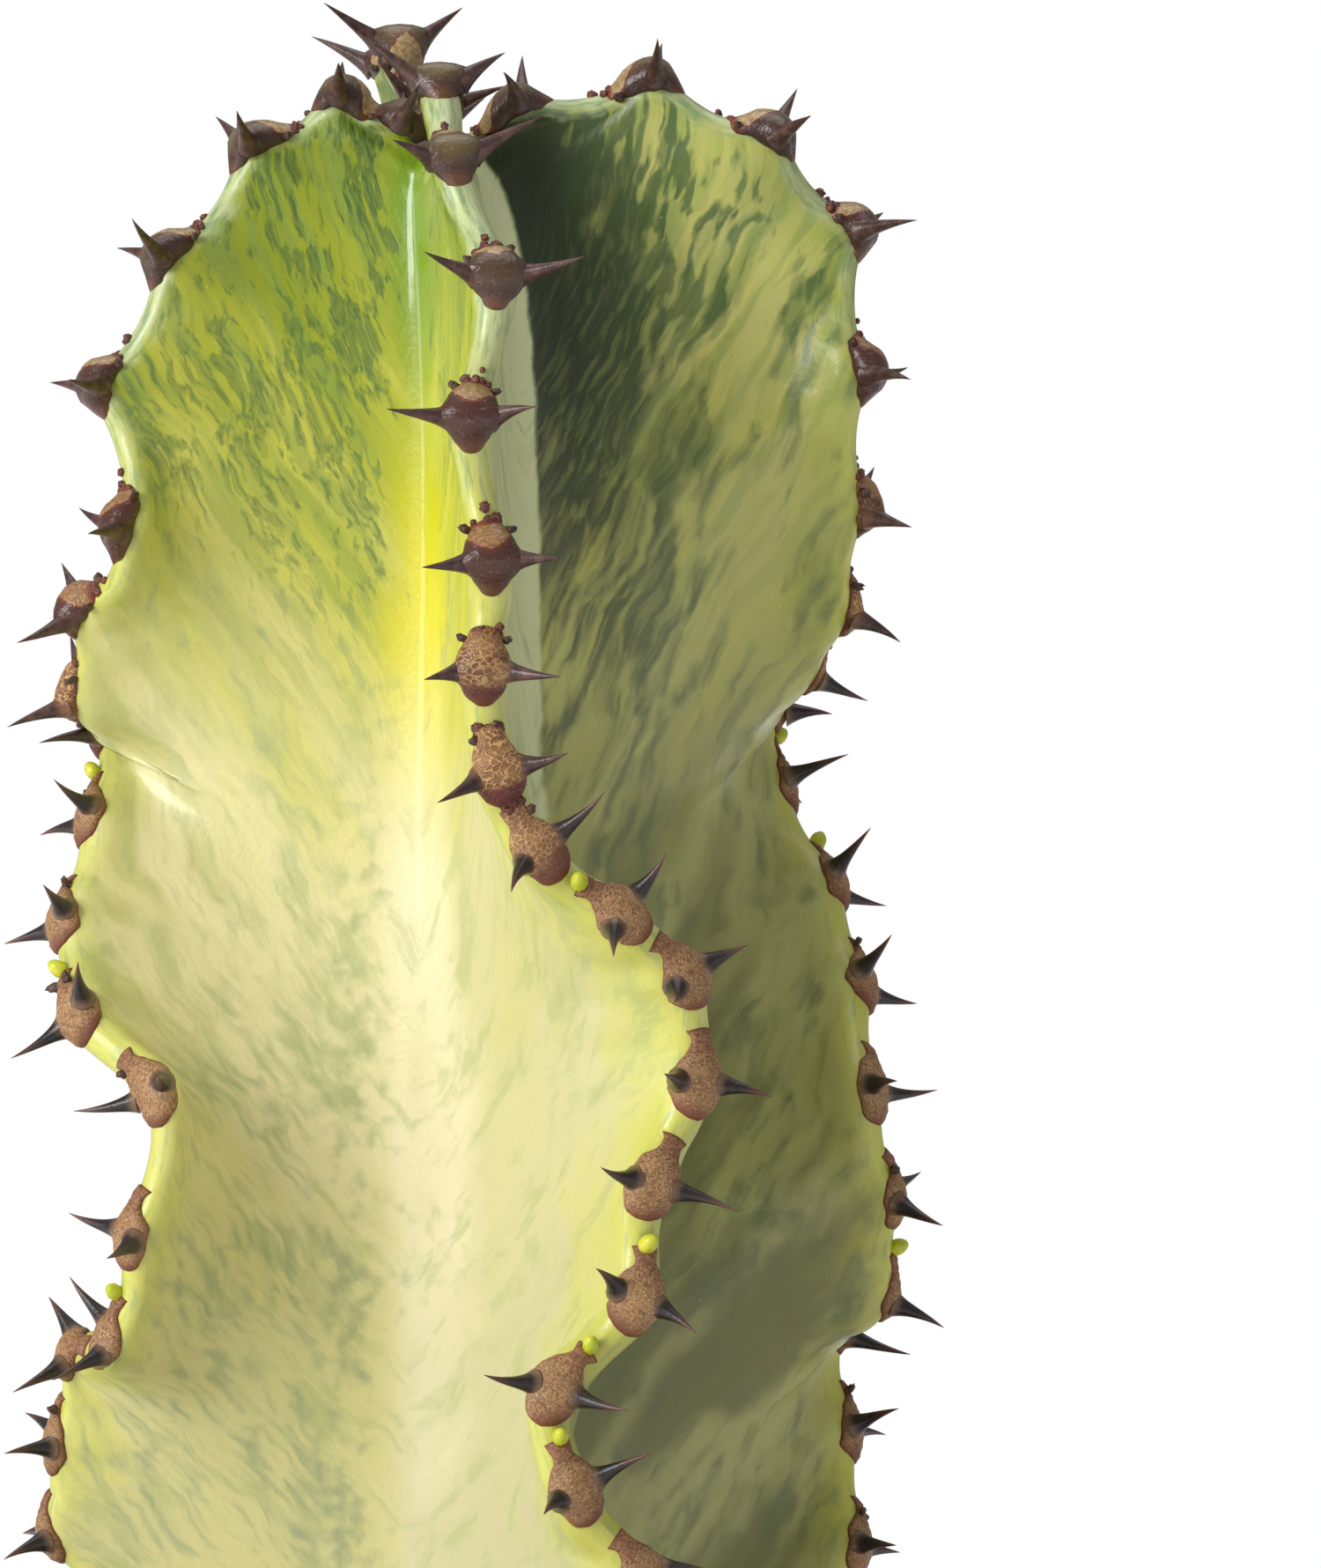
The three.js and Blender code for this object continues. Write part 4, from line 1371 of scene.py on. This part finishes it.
SOIL_DARK = (0.018, 0.012, 0.008)
SOIL_BROWN = (0.085, 0.055, 0.036)
GRIT_BARK = (0.07, 0.045, 0.03)
GRIT_LAVA = (0.16, 0.085, 0.05)
GRIT_STONE = (0.30, 0.26, 0.20)
GRIT_PUMICE = (0.56, 0.52, 0.44)
GRIT_SHADE = (0.03, 0.02, 0.015)


def soil_material():
    finish = Finish("soil", 0.95)
    place = finish.place()
    grains = place.noise(0.9, 4, 0.7)
    finish.set("Base Color", grains.between(0.35, 0.7).blend(SOIL_DARK, SOIL_BROWN))
    finish.bump(grains + 0.6 * place.cells(0.8), 0.0008, 0.9)
    return finish.material


def grit_material():
    finish = Finish("grit", 0.9)
    tone, grains = finish.attribute("tone"), finish.place().noise(1.8, 3, 0.7)
    finish.set("Base Color", laid(
        tone.between(0.28, 0.34).blend(GRIT_BARK, GRIT_LAVA),
        (tone.between(0.52, 0.58), GRIT_STONE),
        (tone.between(0.80, 0.86), GRIT_PUMICE),
        (grains.between(0.45, 0.7) * 0.45, GRIT_SHADE),
    ))
    finish.bump(grains, 0.0002, 0.8)
    return finish.material


for piece, material in (
        (skin_piece, skin_material()),
        (shields, shield_material()),
        (spines, spine_material()),
        (buds, bud_material()),
        (prickles, dry_material("prickles", PRICKLE_DARK, PRICKLE_BROWN)),
        (nubs, dry_material("nubs", NUB_DARK, NUB_RED)),
        (clay_pot, clay_material()),
        (soil_bed, soil_material()),
        (grit, grit_material()),
):
    piece.data.materials.append(material)
for piece in (skin_piece, shields, spines, buds, prickles, nubs):
    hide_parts("stem")
    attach(piece, "root")
for piece, node, slot in ((clay_pot, "pot", "clay"), (soil_bed, "soil", "soil"), (grit, "soil", "soil")):
    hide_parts(node)
    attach(piece, "root")


FLOOR_RADIUS = 1.1


def make_floor():
    """A round white floor under the pot, which glows more the further it is from the pot, so that it fades into
    the white behind.
    """
    mesh = bpy.data.meshes.new("floor")
    shape = bmesh.new()
    bmesh.ops.create_circle(shape, cap_ends=True, radius=FLOOR_RADIUS, segments=96)
    shape.to_mesh(mesh)
    shape.free()
    floor = add_object("floor", mesh)
    floor.location.z = -0.0004
    finish = Finish("floor", 0.9)
    finish.set("Base Color", (0.86, 0.86, 0.85))
    from_axis = finish.place().stretch(MM, MM, 0).length()
    # The floor glows, more towards its edge.
    finish.set("Emission Color", (1, 1, 1))
    finish.set("Emission Strength", (from_axis / FLOOR_RADIUS).between(0.35, 0.95))
    mesh.materials.append(finish.material)


def make_camera():
    """The photograph's view: level with the plant's top, looking down a little through a long lens."""
    target = Vector((0.0225, 0, 0.286))
    distance, tilt = 1.0, math.radians(3)
    pixels_a_metre_at_one_metre = 9100
    photo_height = 1780
    sensor = 36
    camera = bpy.data.cameras.new("camera")
    camera.lens = pixels_a_metre_at_one_metre / photo_height * sensor
    camera.sensor_width = sensor
    camera.clip_end = 20
    holder = add_object("camera", camera)
    holder.location = target + Vector((0, -math.cos(tilt), math.sin(tilt))) * distance
    holder.rotation_euler = (math.radians(90) - tilt, 0, 0)
    bpy.context.scene.camera = holder


def area_light(name, place, towards, size, power):
    light = bpy.data.lights.new(name, "AREA")
    light.shape = "RECTANGLE"
    light.size, light.size_y = size
    light.energy = power
    holder = add_object(name, light)
    holder.location = place
    holder.rotation_euler = (Vector(towards) - Vector(place)).to_track_quat("-Z", "Y").to_euler()


def make_world():
    """White behind the plant, and a softer white light from all round."""
    world = bpy.data.worlds.new("studio")
    bpy.context.scene.world = world
    world.use_nodes = True
    tree = world.node_tree
    tree.nodes.clear()
    seen, lit = (add_node(tree, "Background", {"Color": (1, 1, 1), "Strength": strength})
                 for strength in (1.0, 0.30))
    choice = {0: add_node(tree, "LightPath", {}, "Is Camera Ray"), 1: lit, 2: seen}
    out = tree.nodes.new("ShaderNodeOutputWorld")
    put(tree, out.inputs["Surface"], add_node(tree, "MixShader", choice))


make_floor()
make_camera()
make_world()
middle = (0, 0, 0.28)
area_light("key", (-1.1, -0.95, 0.85), middle, (0.6, 0.9), 19)
area_light("strip", (-1.25, -0.35, 0.45), middle, (0.35, 0.9), 3.5)
area_light("fill", (1.3, -1.0, 0.5), middle, (1.0, 1.0), 1.5)
area_light("top", (0, 0.2, 1.5), middle, (1.0, 1.0), 6)
bpy.context.scene.view_settings.view_transform = "Standard"
